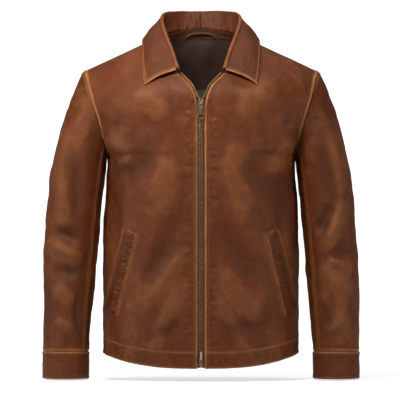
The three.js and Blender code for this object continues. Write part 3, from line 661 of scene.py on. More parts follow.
# ---- Sheets: a grid laid on a surface, with the distances to its edges ----
class Sheet:
    """A cut piece laid on a surface at(u, v), whose columns and rows crowd towards its edges.

    Its left and right are the edges where u starts and ends, and its bottom and top those of v."""

    def __init__(self, at, across, along, u_span=(0, 1), v_span=(0, 1), crowd=(0.0, 0.0)):
        self.across, self.along = across, along
        u = np.linspace(0, 1, across + 1)
        v = np.linspace(0, 1, along + 1)
        u = u - crowd[0] * np.sin(2 * math.pi * u) / (2 * math.pi)
        v = v - crowd[1] * np.sin(2 * math.pi * v) / (2 * math.pi)
        u, v = np.meshgrid(lerp(*u_span, u), lerp(*v_span, v))
        self.u, self.v = u, v
        self.base = at(u, v)
        self.normal = self._normals(self.base)
        self.place = self.base.copy()
        self.measure()
        self.wear = np.zeros(u.shape)

    @staticmethod
    def _normals(place):
        return unit(np.cross(np.gradient(place, axis=1), np.gradient(place, axis=0)))

    def measure(self):
        """Distances along the sheet to its left, right, bottom and top edges."""
        across = np.linalg.norm(np.diff(self.base, axis=1), axis=2)
        along = np.linalg.norm(np.diff(self.base, axis=0), axis=2)
        rows, columns = self.base.shape[:2]
        self.left = np.hstack([np.zeros((rows, 1)), np.cumsum(across, axis=1)])
        self.right = self.left[:, -1:] - self.left
        self.bottom = np.vstack([np.zeros((1, columns)), np.cumsum(along, axis=0)])
        self.top = self.bottom[-1:] - self.bottom
        self.edge = np.minimum(np.minimum(self.left, self.right), np.minimum(self.bottom, self.top))

    def raise_by(self, height, keep=None):
        """Moves the sheet outwards by height, in millimetres."""
        self.place = self.base + self.normal * np.asarray(height)[..., None]
        if keep:
            self.place = keep(self.place)
        return self

    def sided(self, side):
        """The sheet as it lies on that side of the wearer; it is laid out on the left."""
        if side != "right":
            return self
        other = copy.copy(self)
        for grid in ("base", "place", "normal"):
            setattr(other, grid, getattr(self, grid) * np.array([-1.0, 1.0, 1.0]))
        return other

    def read(self, grid, u, v):
        """Values of one of the sheet's grids at other u and v."""
        columns, rows = self.u[0], self.v[:, 0]
        i = np.clip(np.searchsorted(columns, u) - 1, 0, len(columns) - 2)
        j = np.clip(np.searchsorted(rows, v) - 1, 0, len(rows) - 2)
        a = clamp01((u - columns[i]) / (columns[i + 1] - columns[i]))[..., None]
        b = clamp01((v - rows[j]) / (rows[j + 1] - rows[j]))[..., None]
        return lerp(lerp(grid[j, i], grid[j, i + 1], a), lerp(grid[j + 1, i], grid[j + 1, i + 1], a), b)

    def lifts(self, places):
        """How far the sheet stands off its surface next to each place on it, and its normals there."""
        if not hasattr(self, "tree"):
            flat = self.base.reshape(-1, 3)
            self.tree = kdtree.KDTree(len(flat))
            for index, place in enumerate(flat):
                self.tree.insert(place, index)
            self.tree.balance()
        flat = places.reshape(-1, 3)
        found = np.array([self.tree.find(place)[1] for place in flat])
        moved = (self.place - self.base).reshape(-1, 3)[found]
        return moved.reshape(places.shape), self.normal.reshape(-1, 3)[found].reshape(places.shape)

    def under(self, outer, depth):
        """Lays this sheet inside another one that has the same u and v, as deep as given."""
        depth = np.broadcast_to(depth, self.u.shape)[..., None]
        self.place = outer.read(outer.place, self.u, self.v) - depth * outer.read(outer.normal, self.u, self.v)
        return self

    def line(self, side, distance, start=0.0, stop=1.0):
        """Points and normals on the sheet at a distance from one of its edges, from start to stop along it."""
        gaps, both = getattr(self, side), np.concatenate([self.place, self.normal], axis=2)
        share = self.v[:, 0]
        if side in ("bottom", "top"):
            gaps, both, share = gaps.T, both.transpose(1, 0, 2), self.u[0]
        found = []
        for gap, row, at in zip(gaps, both, share):
            if start <= at <= stop:
                order = np.argsort(gap)
                found.append([np.interp(distance, gap[order], row[order, k]) for k in range(6)])
        found = np.array(found)
        return found[:, :3], unit(found[:, 3:])


def sewn_edge(gap, sink=1.1, puff=0.7, stitches=()):
    """Relief beside a seam: the ply sinks into the seam, swells beside it and dips at each row of stitches."""
    relief = -sink * np.exp(-((gap / 1.5) ** 2)) + puff * bump_at(gap, 3.8, 2.6)
    for row in stitches:
        relief = relief - 0.45 * bump_at(gap, row, 0.9) + 0.25 * bump_at(gap, row + 2.6, 1.6)
    return relief


def worn_edge(gap, reach=3.0):
    return np.exp(-((gap / reach) ** 2))


def mesh_piece(name, bm, materials):
    """Writes a bmesh as an object, in metres."""
    mesh = bpy.data.meshes.new(name)
    bmesh.ops.scale(bm, vec=(MM, MM, MM), verts=bm.verts)
    bm.to_mesh(mesh)
    bm.free()
    piece = bpy.data.objects.new(name, mesh)
    bpy.context.scene.collection.objects.link(piece)
    for material in materials:
        mesh.materials.append(material)
    mesh.shade_smooth()
    mesh.set_sharp_from_angle(angle=math.radians(50))
    return piece


def sheet_piece(name, sheet, thickness, finish, side=None):
    """Makes a Sheet into a closed piece of leather or cloth, thickness deep on its inner side."""
    sheet = sheet.sided(side)
    bm = bmesh.new()
    uv = bm.loops.layers.uv.new("UVMap")
    # Per-vertex real wear and painted light and shade, read by the leather material.
    wear = bm.verts.layers.float.new("wear")
    bmesh.ops.create_grid(bm, x_segments=sheet.across, y_segments=sheet.along, size=1)
    where = {}
    for vert in bm.verts:
        column = round((vert.co.x + 1) / 2 * sheet.across)
        row = round((vert.co.y + 1) / 2 * sheet.along)
        where[vert] = (row, column)
        vert.co = sheet.place[row, column]
        vert[wear] = sheet.wear[row, column]
    for face in bm.faces:
        for loop in face.loops:
            row, column = where[loop.vert]
            loop[uv].uv = (sheet.left[row, column] * MM, sheet.bottom[row, column] * MM)
    if side == "right":
        bmesh.ops.reverse_faces(bm, faces=bm.faces)
    area = sum(face.calc_area() for face in bm.faces) * MM**2
    piece = mesh_piece(name, bm, [bpy.data.materials[finish]])
    solid = piece.modifiers.new("Thickness", "SOLIDIFY")
    solid.thickness = thickness * MM
    solid.offset = -1
    apply_modifiers(piece)
    piece.data.set_sharp_from_angle(angle=math.radians(60))
    width, length = sheet.left.max() * MM, sheet.bottom.max() * MM
    area = min(max(area, 0.3 * width * length), width * length)
    return piece


def hide_piece(name, sheet, side=None):
    return sheet_piece(name, sheet, sizes().thickness / MM, "waxed_cowhide", side)


def facing_piece(name, sheet, side=None):
    return sheet_piece(name, sheet, LEATHER, "skived_facing_cowhide", side)


def apply_modifiers(piece):
    """Writes a piece's modifiers into its mesh."""
    graph = bpy.context.evaluated_depsgraph_get()
    made = bpy.data.meshes.new_from_object(piece.evaluated_get(graph))
    old = piece.data
    piece.modifiers.clear()
    piece.data = made
    made.name = piece.name
    bpy.data.meshes.remove(old)


def settle(piece, body, *nodes, blended=False):
    """Says what a piece rides on and which frame nodes it stands for.

    A blended piece is not parented: its transform is baked into its mesh."""
    if blended:
        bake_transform(piece)
    else:
        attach(piece, body)
    if nodes:
        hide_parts(*nodes)


# ---- Stitches ----
def walk(line, normals, pitch):
    """Places a pitch apart along a line, each with its direction and normal."""
    steps = np.linalg.norm(np.diff(line, axis=0), axis=1)
    reached = np.concatenate([[0], np.cumsum(steps)])
    count = max(1, int(reached[-1] / pitch))
    marks = (np.arange(count) + 0.5) * reached[-1] / count
    place = along_line(marks, reached, line)
    ahead = along_line(marks + 0.3 * pitch, reached, line)
    back = along_line(marks - 0.3 * pitch, reached, line)
    normal = along_line(marks, reached, normals)
    return place, unit(ahead - back), unit(normal)


def stitch_piece(name, lines, body, blended=False):
    """Topstitching along lines of points and normals: one rounded stitch after another, sunk a little."""
    pitch, thread = sizes().stitch_pitch / MM, sizes().thread / MM
    bm = bmesh.new()
    for line, normals in lines:
        for place, along, out in zip(*walk(line, normals, pitch)):
            across = np.cross(out, along)
            turn = Matrix((along, across, out)).transposed().to_4x4()
            size = Matrix.Diagonal((0.4 * pitch, 0.55 * thread, 0.5 * thread, 1))
            move = Matrix.Translation(Vector(place + out * 0.12))
            bmesh.ops.create_icosphere(bm, subdivisions=1, radius=1, matrix=move @ turn @ size)
    piece = mesh_piece(name, bm, [bpy.data.materials["polyester_topstitch_thread"]])
    settle(piece, body, blended=blended)


# ---- Surfaces kept for what is sewn on or lies inside ----
laid = {}


def lay(name, sheet, wear_bands=(), folds=None):
    """Sets a sheet's wear and painted shading and keeps it: 1 is rubbed pale, fold crests are painted paler, and below
    0 is painted shade, as in a fold's bottom.
    """
    wear = np.zeros(sheet.u.shape)
    if folds is not None:
        # Painted light and shade from the folds: crests painted paler, bottoms painted darker.
        wear = np.clip(folds * 0.1, -0.35, 0.26)
    for band in wear_bands:
        wear = np.where(band > 0.12, np.maximum(wear, band), wear)
    sheet.wear = wear
    laid[name] = sheet
    return sheet


def pocket_frame(sheet):
    """p and q of the pocket at each place of a front sheet."""
    x = sheet.base[..., 0] - MOUTH_TOP_X
    drop = -MOUTH_TOP_DROP - sheet.base[..., 2]
    p = x * math.sin(MOUTH_TILT) + drop * math.cos(MOUTH_TILT)
    q = -x * math.cos(MOUTH_TILT) + drop * math.sin(MOUTH_TILT)
    return p, q


# ---- Body leather ----
def torso_seam(sheet, gap):
    """Relief and wear beside a side seam, which turns into the stitched armhole seam above the armpit."""
    in_armhole = smooth((sheet.v - ARMPIT_ROW + 0.02) / 0.03)
    relief = in_armhole * sewn_edge(gap, 1.3, 1.4, ARMHOLE_STITCHES) + (1 - in_armhole) * sewn_edge(gap)
    return relief, 0.85 * worn_edge(gap - 5.5, 4.5) * in_armhole


def lay_front(side):
    sheet = Sheet(front_surface, 116, 236, crowd=(0.62, 0.3))
    seed = 11.0 if side == "left" else 47.0
    edge = smooth(sheet.left / 45) * smooth(sheet.top / 30)
    folds = 1.6 * soft_folds(sheet.base, FRONT_FOLDS[side], seed) * edge
    drawn = 2.2 * ripples_on(sheet, (0.3, 0.3, 1.0), 8, seed) * bump_at(sheet.left, 15, 10)
    band = 2.0 * ripples_on(sheet, (1.0, 1.0, 0.35), 9, seed + 3) * bump_at(sheet.bottom, 18, 11)
    folds = folds + drawn * (sheet.place[..., 2] < -ZIP_TOP - 20) + band
    seam, seam_wear = torso_seam(sheet, sheet.right)
    relief = folds + sewn_edge(sheet.left, 1.3, 1.1, (ZIP_STITCH,)) + sewn_edge(sheet.top, 1.0, 0.6, (SHOULDER_STITCH,))
    relief = relief + sewn_edge(sheet.bottom, 1.4, 0.6, (HEM_BAND,)) + seam
    p, q = pocket_frame(sheet)
    beside = smooth((p + 10) / 4) * smooth((MOUTH_LENGTH + 12 - p) / 4)
    mouth = smooth(p / 6) * smooth((MOUTH_LENGTH - p) / 6) * bump_at(q, -0.5, 3.2)
    inset = beside * smooth((q + 5) / 3) * smooth((WELT_WIDTH + 6 - q) / 3)
    relief = relief - 0.9 * inset - 3.2 * mouth + 1.0 * beside * bump_at(q, -7.5, 3.2)
    sheet.raise_by(relief, keep_front)
    sheet.place[..., 0] = sheet.place[..., 0] - 2.1 * bump_at(sheet.left, 0, 3.0)
    bands = (
        worn_edge(sheet.left - 0.8, 2.2),
        worn_edge(sheet.bottom - 0.8, 2.2),
        0.5 * worn_edge(sheet.bottom - HEM_BAND, 2.4),
        seam_wear,
        0.7 * worn_edge(sheet.top, 2.4),
        0.45 * beside * bump_at(q, WELT_WIDTH + 6, 2.2),
        0.4 * beside * bump_at(q, -7.5, 2.0),
    )
    lay("front_" + side, sheet, bands, folds)
    # Painted shade: the leather darkened along the pocket mouth's groove.
    sheet.wear = sheet.wear - 0.6 * mouth


def make_front(side):
    lay_front(side)
    sheet = laid["front_" + side]
    piece = hide_piece("front_leather_" + side, sheet, side)
    settle(piece, "body", f"front_panel_{side}")
    shown = sheet.sided(side)
    lines = [shown.line("left", ZIP_STITCH), shown.line("bottom", HEM_BAND, 0.03), shown.line("top", SHOULDER_STITCH)]
    lines += [shown.line("right", row, ARMPIT_ROW, 1.0) for row in ARMHOLE_STITCHES]
    stitch_piece("front_stitches_" + side, lines, "body")


def make_back():
    sheet = Sheet(back_row, 170, 200, crowd=(0.5, 0.3))
    band = 2.0 * ripples_on(sheet, (1.0, 1.0, 0.35), 9, 86.0) * bump_at(sheet.bottom, 18, 11)
    folds = 1.5 * soft_folds(sheet.base, BACK_FOLDS, 83.0) * smooth(sheet.top / 30) + band
    relief = folds + sewn_edge(sheet.bottom, 1.4, 0.6, (HEM_BAND,)) + sewn_edge(sheet.top, 1.0, 0.5)
    bands = [worn_edge(sheet.bottom - 0.8, 2.2), 0.5 * worn_edge(sheet.bottom - HEM_BAND, 2.4)]
    for gap in (sheet.left, sheet.right):
        seam, seam_wear = torso_seam(sheet, gap)
        relief = relief + seam
        bands.append(seam_wear)
    sheet.raise_by(relief, keep_back)
    lay("back", sheet, bands, folds)
    piece = hide_piece("back_leather", sheet)
    settle(piece, "body", "back_panel")
    lines = [sheet.line("bottom", HEM_BAND)]
    for edge in ("left", "right"):
        lines += [sheet.line(edge, row, ARMPIT_ROW, 1.0) for row in ARMHOLE_STITCHES]
    stitch_piece("back_stitches", lines, "body")


def make_pocket(side):
    """The welt with its stitched frame, and the bag behind it."""
    seed = 7.0 if side == "left" else 19.0
    outer = laid["front_" + side]

    def welt_at(u, v):
        q = lerp(WELT_WIDTH + 3.0, MOUTH_WIDTH / 2 - 0.8, u)
        skew = (q - WELT_WIDTH / 2) * 0.33
        return pocket_at(lerp(MOUTH_LENGTH + WELT_EXTRA, -WELT_EXTRA, v) + skew, q)

    welt = Sheet(welt_at, 26, 150)
    ripples = 1.7 * ripples_on(welt, (0.4, 0.4, 1.0), 6, seed)
    relief = 2.0 + ripples * smooth(welt.edge / 4) + sewn_edge(welt.left, 1.2, 0.6, (3.2,))
    relief = relief - 1.6 * worn_edge(welt.right, 1.8)
    relief = relief - 1.0 * worn_edge(np.minimum(welt.top, welt.bottom), 1.6)
    welt.raise_by(relief, keep_front)
    lifted, _ = outer.lifts(welt.base)
    welt.place = welt.place + lifted * smooth(np.abs(lifted[..., 1:2]) / 0.1)
    bands = (0.55 * worn_edge(welt.right - 1.2, 1.6), 0.8 * worn_edge(welt.left, 2.0), 0.6 * worn_edge(welt.top, 2.0))
    # Painted shade in the welt's ripple hollows; the welt is also darkened all over.
    lay("welt_" + side, welt, bands, 1.6 * ripples - 3.0)
    piece = sheet_piece("pocket_welt_leather_" + side, welt, LEATHER, "waxed_cowhide", side)
    settle(piece, "body", f"pocket_welt_{side}")

    lines = []
    corners = [(-9.0, -5.0), (-2.0, 22.5), (MOUTH_LENGTH + 10, 18.0), (MOUTH_LENGTH + 2, -7.5)]
    for (p0, q0), (p1, q1) in zip(corners, corners[1:] + corners[:1]):
        run = np.linspace(0, 1, 60)
        line = pocket_at(lerp(p0, p1, run), lerp(q0, q1, run))
        lifted, normals = outer.lifts(line)
        lines.append((line + lifted + 0.2 * normals, normals))
    if side == "right":
        flip = np.array([-1.0, 1.0, 1.0])
        lines = [(line * flip, normals * flip) for line, normals in lines]
    stitch_piece("pocket_stitches_" + side, lines, "body")

    def bag_at(u, v):
        return pocket_at(lerp(MOUTH_LENGTH + BAG_BELOW, -2.0, v), lerp(BAG_REACH, -2.0, u))

    front_depth = LEATHER + PLY_SLACK
    for name, depth in (("front", front_depth), ("back", front_depth + BAG_PLY + BAG_HOLLOW)):
        ply = Sheet(bag_at, 24, 50)
        closing = 0.0 if name == "front" else -BAG_HOLLOW * (1 - smooth(ply.edge / 12))
        slack = 0.5 * fine_noise(ply.base, 30, seed)
        lifted, normals = outer.lifts(ply.base)
        ply.place = ply.base + lifted - (depth + closing + 0.6 - slack)[..., None] * normals
        bag = sheet_piece(f"pocket_bag_{name}_{side}", ply, BAG_PLY, "cotton_pocketing", side)
        settle(bag, "body", f"pocket_bag_{side}")


# ---- Facings and linings ----
def make_facings():
    for side in SIDES:
        outer = laid["front_" + side]
        facing = Sheet(front_surface, 24, 150, u_span=(0.01, FACING_SHARE - SEAM_SHARE))
        facing.under(outer, LEATHER + TAPE_THICK + 6 * GAP)
        facing.wear = 0.5 * worn_edge(facing.left, 3) - 0.2
        piece = facing_piece("front_facing_leather_" + side, facing, side)
        settle(piece, "body", f"front_facing_{side}")
        hem = Sheet(front_surface, 50, 10, u_span=(FACING_SHARE + SEAM_SHARE, 1), v_span=(0, HEM_ROW - SEAM_SHARE))
        hem.under(outer, LEATHER + 2 * GAP)
        piece = facing_piece("hem_facing_leather_" + side, hem, side)
        settle(piece, "body", f"hem_facing_{side}")
    hem = Sheet(back_row, 90, 10, v_span=(0, HEM_ROW - SEAM_SHARE))
    hem.under(laid["back"], LEATHER + 2 * GAP)
    piece = facing_piece("hem_facing_leather_back", hem)
    settle(piece, "body", "hem_facing_back")

    def neck_at(u, v):
        x = lerp(1, -1, u) * NECK_FACING_HIGH.x
        return back_at(x, lerp(NECK_FACING_LOW.z, back_top(x) - 0.6, v))

    neck = Sheet(neck_at, 90, 16)
    ripples = 0.5 * ripples_on(neck, (1.0, 1.0, 0.3), 12, 4.0)
    neck.raise_by(-(LEATHER + PLY_SLACK + 0.4) + ripples)
    neck.wear = neck.wear - 0.15
    piece = facing_piece("neck_facing_leather", neck)
    settle(piece, "body", "neck_facing")
    line, normals = neck.line("bottom", NECK_FACING_STITCH)
    inner = (line - normals * (LEATHER + 0.2), -normals)
    stitch_piece("neck_facing_stitches", [inner], "body")


def lining_folds(sheet, seed):
    """Soft upright folds of a lining cut a little wide."""
    upright = (1.0, 0.5, 0.14)
    return 4.2 * ripples_on(sheet, upright, 22, seed) + 1.6 * ripples_on(sheet, upright, 9, seed + 2, 1)


def lining_depth(sheet):
    sag = BAG_HOLLOW + 2 * BAG_PLY + 1.6 * PLY_SLACK
    beside = np.minimum(np.minimum(sheet.left, sheet.right), sheet.bottom)
    return LEATHER + PLY_SLACK + sag * smooth(beside / 30) * smooth(sheet.top / 110)


def make_body_linings():
    for side in SIDES:
        lining = Sheet(front_surface, 60, 110, u_span=(FACING_SHARE + SEAM_SHARE, 1), v_span=(HEM_ROW + SEAM_SHARE, 1))
        folds = lining_folds(lining, 33.0) * smooth(lining.edge / 30)
        lining.under(laid["front_" + side], lining_depth(lining) - folds)
        lining.place[..., 1] = np.minimum(lining.place[..., 1], -0.4)
        piece = sheet_piece("front_lining_" + side, lining, LINING, "acetate_satin_lining", side)
        settle(piece, "body", f"lining_front_{side}")

    heights = np.linspace(0.5, 1, 400)

    def lining_at(u, v):
        top = []
        for column in u[0]:
            run = back_row(np.full(400, column), heights)
            inside = np.abs(run[:, 0]) < NECK_FACING_HIGH.x + 0.4
            over = inside & (run[:, 2] > NECK_FACING_LOW.z - 0.4)
            top.append(heights[np.argmax(over)] if over.any() else 1.0)
        return back_row(u, v * np.array(top)[None])

    lining = Sheet(lining_at, 130, 130, v_span=(HEM_ROW + SEAM_SHARE, 1))
    folds = lining_folds(lining, 71.0)
    depth = lining_depth(lining) - folds * smooth(lining.edge / 24)
    lining.raise_by(-depth)
    lining.place[..., 1] = np.maximum(lining.place[..., 1], 0.4)
    piece = sheet_piece("back_lining", lining, LINING, "acetate_satin_lining", None)
    settle(piece, "body", "lining_back")


# ---- Sleeves and cuffs ----
def lay_sleeve(part, side):
    seed = 21.0 if side == "left" else 64.0
    span, columns = ((0, TOP_SHARE), 104) if part == "top" else ((TOP_SHARE, 1), 50)
    sheet = Sheet(sleeve_surface, columns, 220, u_span=span, crowd=(0.5, 0.3))
    folds = soft_folds(sheet.base, SLEEVE_FOLDS[side], seed) * smooth(sheet.bottom / 40) * smooth(sheet.top / 14) * 1.7
    folds = folds + 1.0 * ripples_on(sheet, (1.0, 1.0, 0.3), 13, seed + 5) * bump_at(sheet.top, 16, 12)
    relief = folds + sewn_edge(sheet.left, 1.0, 0.7) + sewn_edge(sheet.right, 1.0, 0.7)
    relief = relief + sewn_edge(sheet.bottom, 1.3, 0.9) + sewn_edge(sheet.top, 1.2, 1.0)
    sheet.raise_by(relief, keep_sleeve)
    bands = (
        0.9 * worn_edge(sheet.top - 2.5, 2.6),
        0.4 * worn_edge(sheet.left - 3.5, 2.4),
        0.4 * worn_edge(sheet.right - 3.5, 2.4),
        0.45 * worn_edge(sheet.bottom - 2.0, 2.2),
    )
    return lay(f"sleeve_{part}_{side}", sheet, bands, folds)


def make_sleeve(side):
    for part in ("top", "under"):
        sheet = lay_sleeve(part, side)
        piece = hide_piece(f"sleeve_{part}_leather_{side}", sheet, side)
        settle(piece, "sleeve_" + side, f"sleeve_{part}_{side}", blended=True)
        lining = Sheet(sleeve_surface, sheet.across // 2, 100, u_span=(sheet.u.min(), sheet.u.max()))
        lining.under(sheet, LEATHER + 2 * GAP + 0.8 * smooth(lining.edge / 20))
        inner = sheet_piece(f"sleeve_{part}_lining_{side}", lining, LINING * 0.7, "acetate_satin_lining", side)
        settle(inner, "sleeve_" + side, f"lining_sleeve_{side}", blended=True)
    shown = laid[f"sleeve_top_{side}"].sided(side)
    lines = [shown.line("right", SLEEVE_STITCH, 0.02, 0.985)]
    stitch_piece("sleeve_stitches_" + side, lines, "sleeve_" + side, blended=True)


def make_cuff(side):
    seed = 31.0 if side == "left" else 5.0
    sheet = Sheet(cuff_surface, 150, 46, crowd=(0.2, 0.5))
    folds = 0.8 * fine_noise(sheet.base, 26, seed) + 0.35 * fine_noise(sheet.base, 9, seed)
    relief = CUFF_PROUD + folds * smooth(sheet.edge / 8) + sewn_edge(sheet.bottom, 1.3, 1.0, (CUFF_SEAM_STITCH,))
    relief = relief + sewn_edge(sheet.top, 1.5, 0.6, (CUFF_STITCH,)) + sewn_edge(sheet.left, 0.9, 0.5)
    sheet.raise_by(relief + sewn_edge(sheet.right, 0.9, 0.5))
    bands = (worn_edge(sheet.top - 0.8, 2.4), 0.9 * worn_edge(sheet.bottom - 1.5, 2.6))
    lay("cuff_" + side, sheet, bands, folds)
    piece = hide_piece("cuff_leather_" + side, sheet, side)
    settle(piece, f"sleeve_{side}", f"cuff_{side}")
    shown = sheet.sided(side)
    lines = [shown.line("bottom", CUFF_SEAM_STITCH), shown.line("top", CUFF_STITCH)]
    stitch_piece("cuff_stitches_" + side, lines, f"sleeve_{side}")
    inner = Sheet(cuff_surface, 90, 16)
    inner.under(sheet, LEATHER + GAP)
    inner.wear = inner.wear - 0.2
    facing = facing_piece("cuff_facing_leather_" + side, inner, side)
    settle(facing, f"sleeve_{side}", f"cuff_facing_{side}")


# ---- Collar ----
def make_collar(side):
    seed = 3.0 if side == "left" else 29.0
    sheet = Sheet(collar_at, 130, 110, crowd=(0.5, 0.3))
    on_stand = smooth((STAND_SHARE - sheet.v) / 0.06)
    puckers = 1.3 * ripples_on(sheet, (1.0, 1.0, 0.15), 9, seed) * on_stand
    folds = 0.9 * fine_noise(sheet.base, 36, seed) + 0.45 * fine_noise(sheet.base, 12, seed + 1)
    folds = (folds * smooth(sheet.bottom / 10) + puckers) * smooth(sheet.left / 6)
    free = np.minimum(sheet.top, np.where(sheet.v > 0.5, sheet.right, 99.0))
    turned = -1.4 * worn_edge(free, 1.8) + 0.8 * bump_at(free, 3.6, 2.2) - 0.5 * bump_at(free, COLLAR_STITCH, 1.0)
    relief = folds + turned - 0.9 * worn_edge(sheet.bottom, 1.6) - 0.9 * worn_edge(sheet.left, 1.6) * on_stand
    sheet.raise_by(relief)
    sheet.place[:, 0, 0] = 0
    roll = bump_at(sheet.v, (STAND_SHARE + ROLL_SHARE) / 2, 0.1)
    bands = (worn_edge(free - 0.8, 2.4), 0.35 * roll, 0.3 * bump_at(free, COLLAR_STITCH, 2.0))
    # Painted shade: the collar darkened all over, against the top light it catches, and most in its hollows.
    lay("collar_" + side, sheet, bands, folds * 1.4 - 2.8)
    piece = hide_piece("collar_leather_" + side, sheet, side)
    settle(piece, "body", f"collar_{side}")
    under = Sheet(collar_at, 90, 70)
    free = np.minimum(under.top, np.where(under.v > 0.5, under.right, 99.0))
    under.under(sheet, LEATHER + GAP - 0.3 * worn_edge(free, 2.0))
    under.wear = under.wear - 0.1
    under.place[:, 0, 0] = 0
    below = sheet_piece("under_collar_leather_" + side, under, SKIVED, "skived_facing_cowhide", side)
    settle(below, "body", f"under_collar_{side}")
    shown = sheet.sided(side)
    lines = [shown.line("top", COLLAR_STITCH), shown.line("right", COLLAR_STITCH, ROLL_SHARE + 0.03, 0.985)]
    stitch_piece("collar_stitches_" + side, lines, "body")


def make_hanger_loop():
    """A folded band of leather, arched between the ends of the neck facing."""
    half, low = LOOP_HIGH.x, LOOP_LOW.z
    rise = LOOP_HIGH.z - LOOP_LOW.z
    front = LOOP_LOW.y

    def at(u, v):
        across, up = lerp(half - LOOP_BAND, half, u), lerp(rise - LOOP_BAND, rise, u)
        return points(across * np.cos(math.pi * v), front, low + up * np.sin(math.pi * v))

    sheet = Sheet(at, 12, 60)
    sheet.raise_by(0.5 * np.sin(math.pi * (sheet.u)) - 0.25 * bump_at(sheet.u, 0.5, 0.12))
    sheet.wear = 0.35 + 0.3 * fine_noise(sheet.base, 8, 2.0)
    piece = sheet_piece("hanger_loop_leather", sheet, LEATHER + 0.4, "skived_facing_cowhide")
    settle(piece, "hanger_loop", "hanger_loop")


# ---- Zip ----
open_chain = SmoothCurve(
    (CHAIN_HALF, 0, -ZIP_TOP),
    (0.24 * NECK_FRONT_HALF, 0, -lerp(NECK_DROP, ZIP_TOP, 0.8)),
    (0.4 * NECK_FRONT_HALF, 0, -lerp(NECK_DROP, ZIP_TOP, 0.5)),
    (0.86 * NECK_FRONT_HALF, 0, -NECK_DROP - 3),
)
STRAIGHT_SHARE = 0.8
TAPE_START = -STRAIGHT_SHARE * (CHAIN_BOTTOM - HEM_FRONT - 2.0) / (-ZIP_TOP - CHAIN_BOTTOM)
CHAIN_Y = (ZIP_BOX_LOW.y + ZIP_BOX_HIGH.y) / 2


def chain_line(v):
    """The outer line of a row of teeth: straight up the middle, then out beside the leather edge."""
    straight = points(CHAIN_HALF, 0, lerp(CHAIN_BOTTOM, -ZIP_TOP, v / STRAIGHT_SHARE))
    turned = open_chain.along(clamp01((v - STRAIGHT_SHARE) / (1 - STRAIGHT_SHARE)))
    return np.where((v <= STRAIGHT_SHARE)[..., None], straight, turned)


def beside_chain(away, v):
    point = chain_line(v)
    run = unit(chain_line(np.minimum(1, v + 0.01)) - chain_line(v - 0.01))
    return front_at(point[..., 0] + away * run[..., 2], point[..., 2] - away * run[..., 0])


def make_zip_tapes():
    def tape_at(u, v):
        return beside_chain(lerp(0.4 - CHAIN_HALF, TAPE_WIDTH, u), v)

    for side in SIDES:
        tape = Sheet(tape_at, 28, 220, v_span=(TAPE_START, 1))
        depth = LEATHER + GAP + 4 * GAP * smooth((tape.v - STRAIGHT_SHARE + 0.05) / 0.05)
        rib = 0.35 * bump_at(tape.left, CHAIN_HALF + 1.6, 1.0)
        tape.raise_by(rib - depth)
        piece = sheet_piece("zip_tape_" + side, tape, TAPE_THICK, "polyester_zip_tape", side)
        settle(piece, "body", f"zip_tape_{side}")


def toothed(side):
    """Centres of one row's teeth with each one's direction along the chain, in left coordinates."""
    pitch = sizes().tooth_pitch / MM
    v = np.linspace(0, 1, 3000)
    middle = beside_chain(np.full_like(v, -CHAIN_HALF / 2 + 0.4), v)
    reached = np.concatenate([[0], np.cumsum(np.linalg.norm(np.diff(middle, axis=0), axis=1))])
    start = pitch * (0.75 if side == "left" else 0.25)
    marks = np.arange(start, reached[-1], pitch)
    at = along_line(marks, reached, middle)
    ahead = along_line(marks + 1, reached, middle)
    back = along_line(marks - 1, reached, middle)
    return at, unit(ahead - back)


def make_zip_teeth():
    """Each tooth is its own bevelled block with a rounded head that reaches in between the other row's teeth."""
    for side in SIDES:
        bm = bmesh.new()
        for at, along in zip(*toothed(side)):
            across = unit(np.cross(along, (0.0, 1.0, 0.0)))
            out = np.cross(across, along)
            if at[2] < -ZIP_TOP:
                at = np.array([at[0], CHAIN_Y, at[2]])
            else:
                share = smooth((at[2] + ZIP_TOP) / 25)
                at = at + np.array([0, (1 - share) * (CHAIN_Y - at[1]) + share * (LEATHER + 1.0), 0])
            turn = Matrix((across, along, out)).transposed().to_4x4()
            place = Matrix.Translation(Vector(at)) @ turn
            body = Matrix.Diagonal((CHAIN_HALF + 0.2, TOOTH_LENGTH, CHAIN_THICK * 0.86, 1))
            bmesh.ops.create_cube(bm, size=1, matrix=place @ body)
        bmesh.ops.bevel(bm, geom=bm.edges[:], offset=0.3, segments=1, affect="EDGES", profile=0.5, material=-1)
        if side == "right":
            bmesh.ops.scale(bm, vec=(-1, 1, 1), verts=bm.verts)
            bmesh.ops.reverse_faces(bm, faces=bm.faces)
        piece = mesh_piece("zip_teeth_row_" + side, bm, [bpy.data.materials["oxidised_brass"]])
        settle(piece, "body", f"zip_teeth_{side}")


def plate(bm, outline, y0, y1, holes=()):
    """A flat plate: an outline of (x, z) corners with holes, from y0 to y1."""
    edges = []
    for ring in (outline, *holes):
        verts = [bm.verts.new((x, y0, z)) for x, z in ring]
        edges += [bm.edges.new((a, b)) for a, b in zip(verts, verts[1:] + verts[:1])]
    filled = bmesh.ops.triangle_fill(bm, use_beauty=True, edges=edges)
    faces = [item for item in filled["geom"] if isinstance(item, bmesh.types.BMFace)]
    raised = bmesh.ops.extrude_face_region(bm, geom=faces, use_keep_orig=True)
    moved = [item for item in raised["geom"] if isinstance(item, bmesh.types.BMVert)]
    bmesh.ops.translate(bm, vec=(0, y1 - y0, 0), verts=moved)
    return moved


def metal_piece(name, bm, edge, segments=2, finish="antique_brass"):
    """A brass casting: doubles merged, normals outwards and its edges rounded."""
    bmesh.ops.remove_doubles(bm, verts=bm.verts, dist=0.001)
    bmesh.ops.recalc_face_normals(bm, faces=bm.faces)
    piece = mesh_piece(name, bm, [bpy.data.materials[finish]])
    rounding = piece.modifiers.new("Rounding", "BEVEL")
    rounding.width = edge * MM
    rounding.segments = segments
    rounding.limit_method = "ANGLE"
    rounding.angle_limit = math.radians(35)
    apply_modifiers(piece)
    piece.data.shade_smooth()
    piece.data.set_sharp_from_angle(angle=math.radians(42))
    return piece


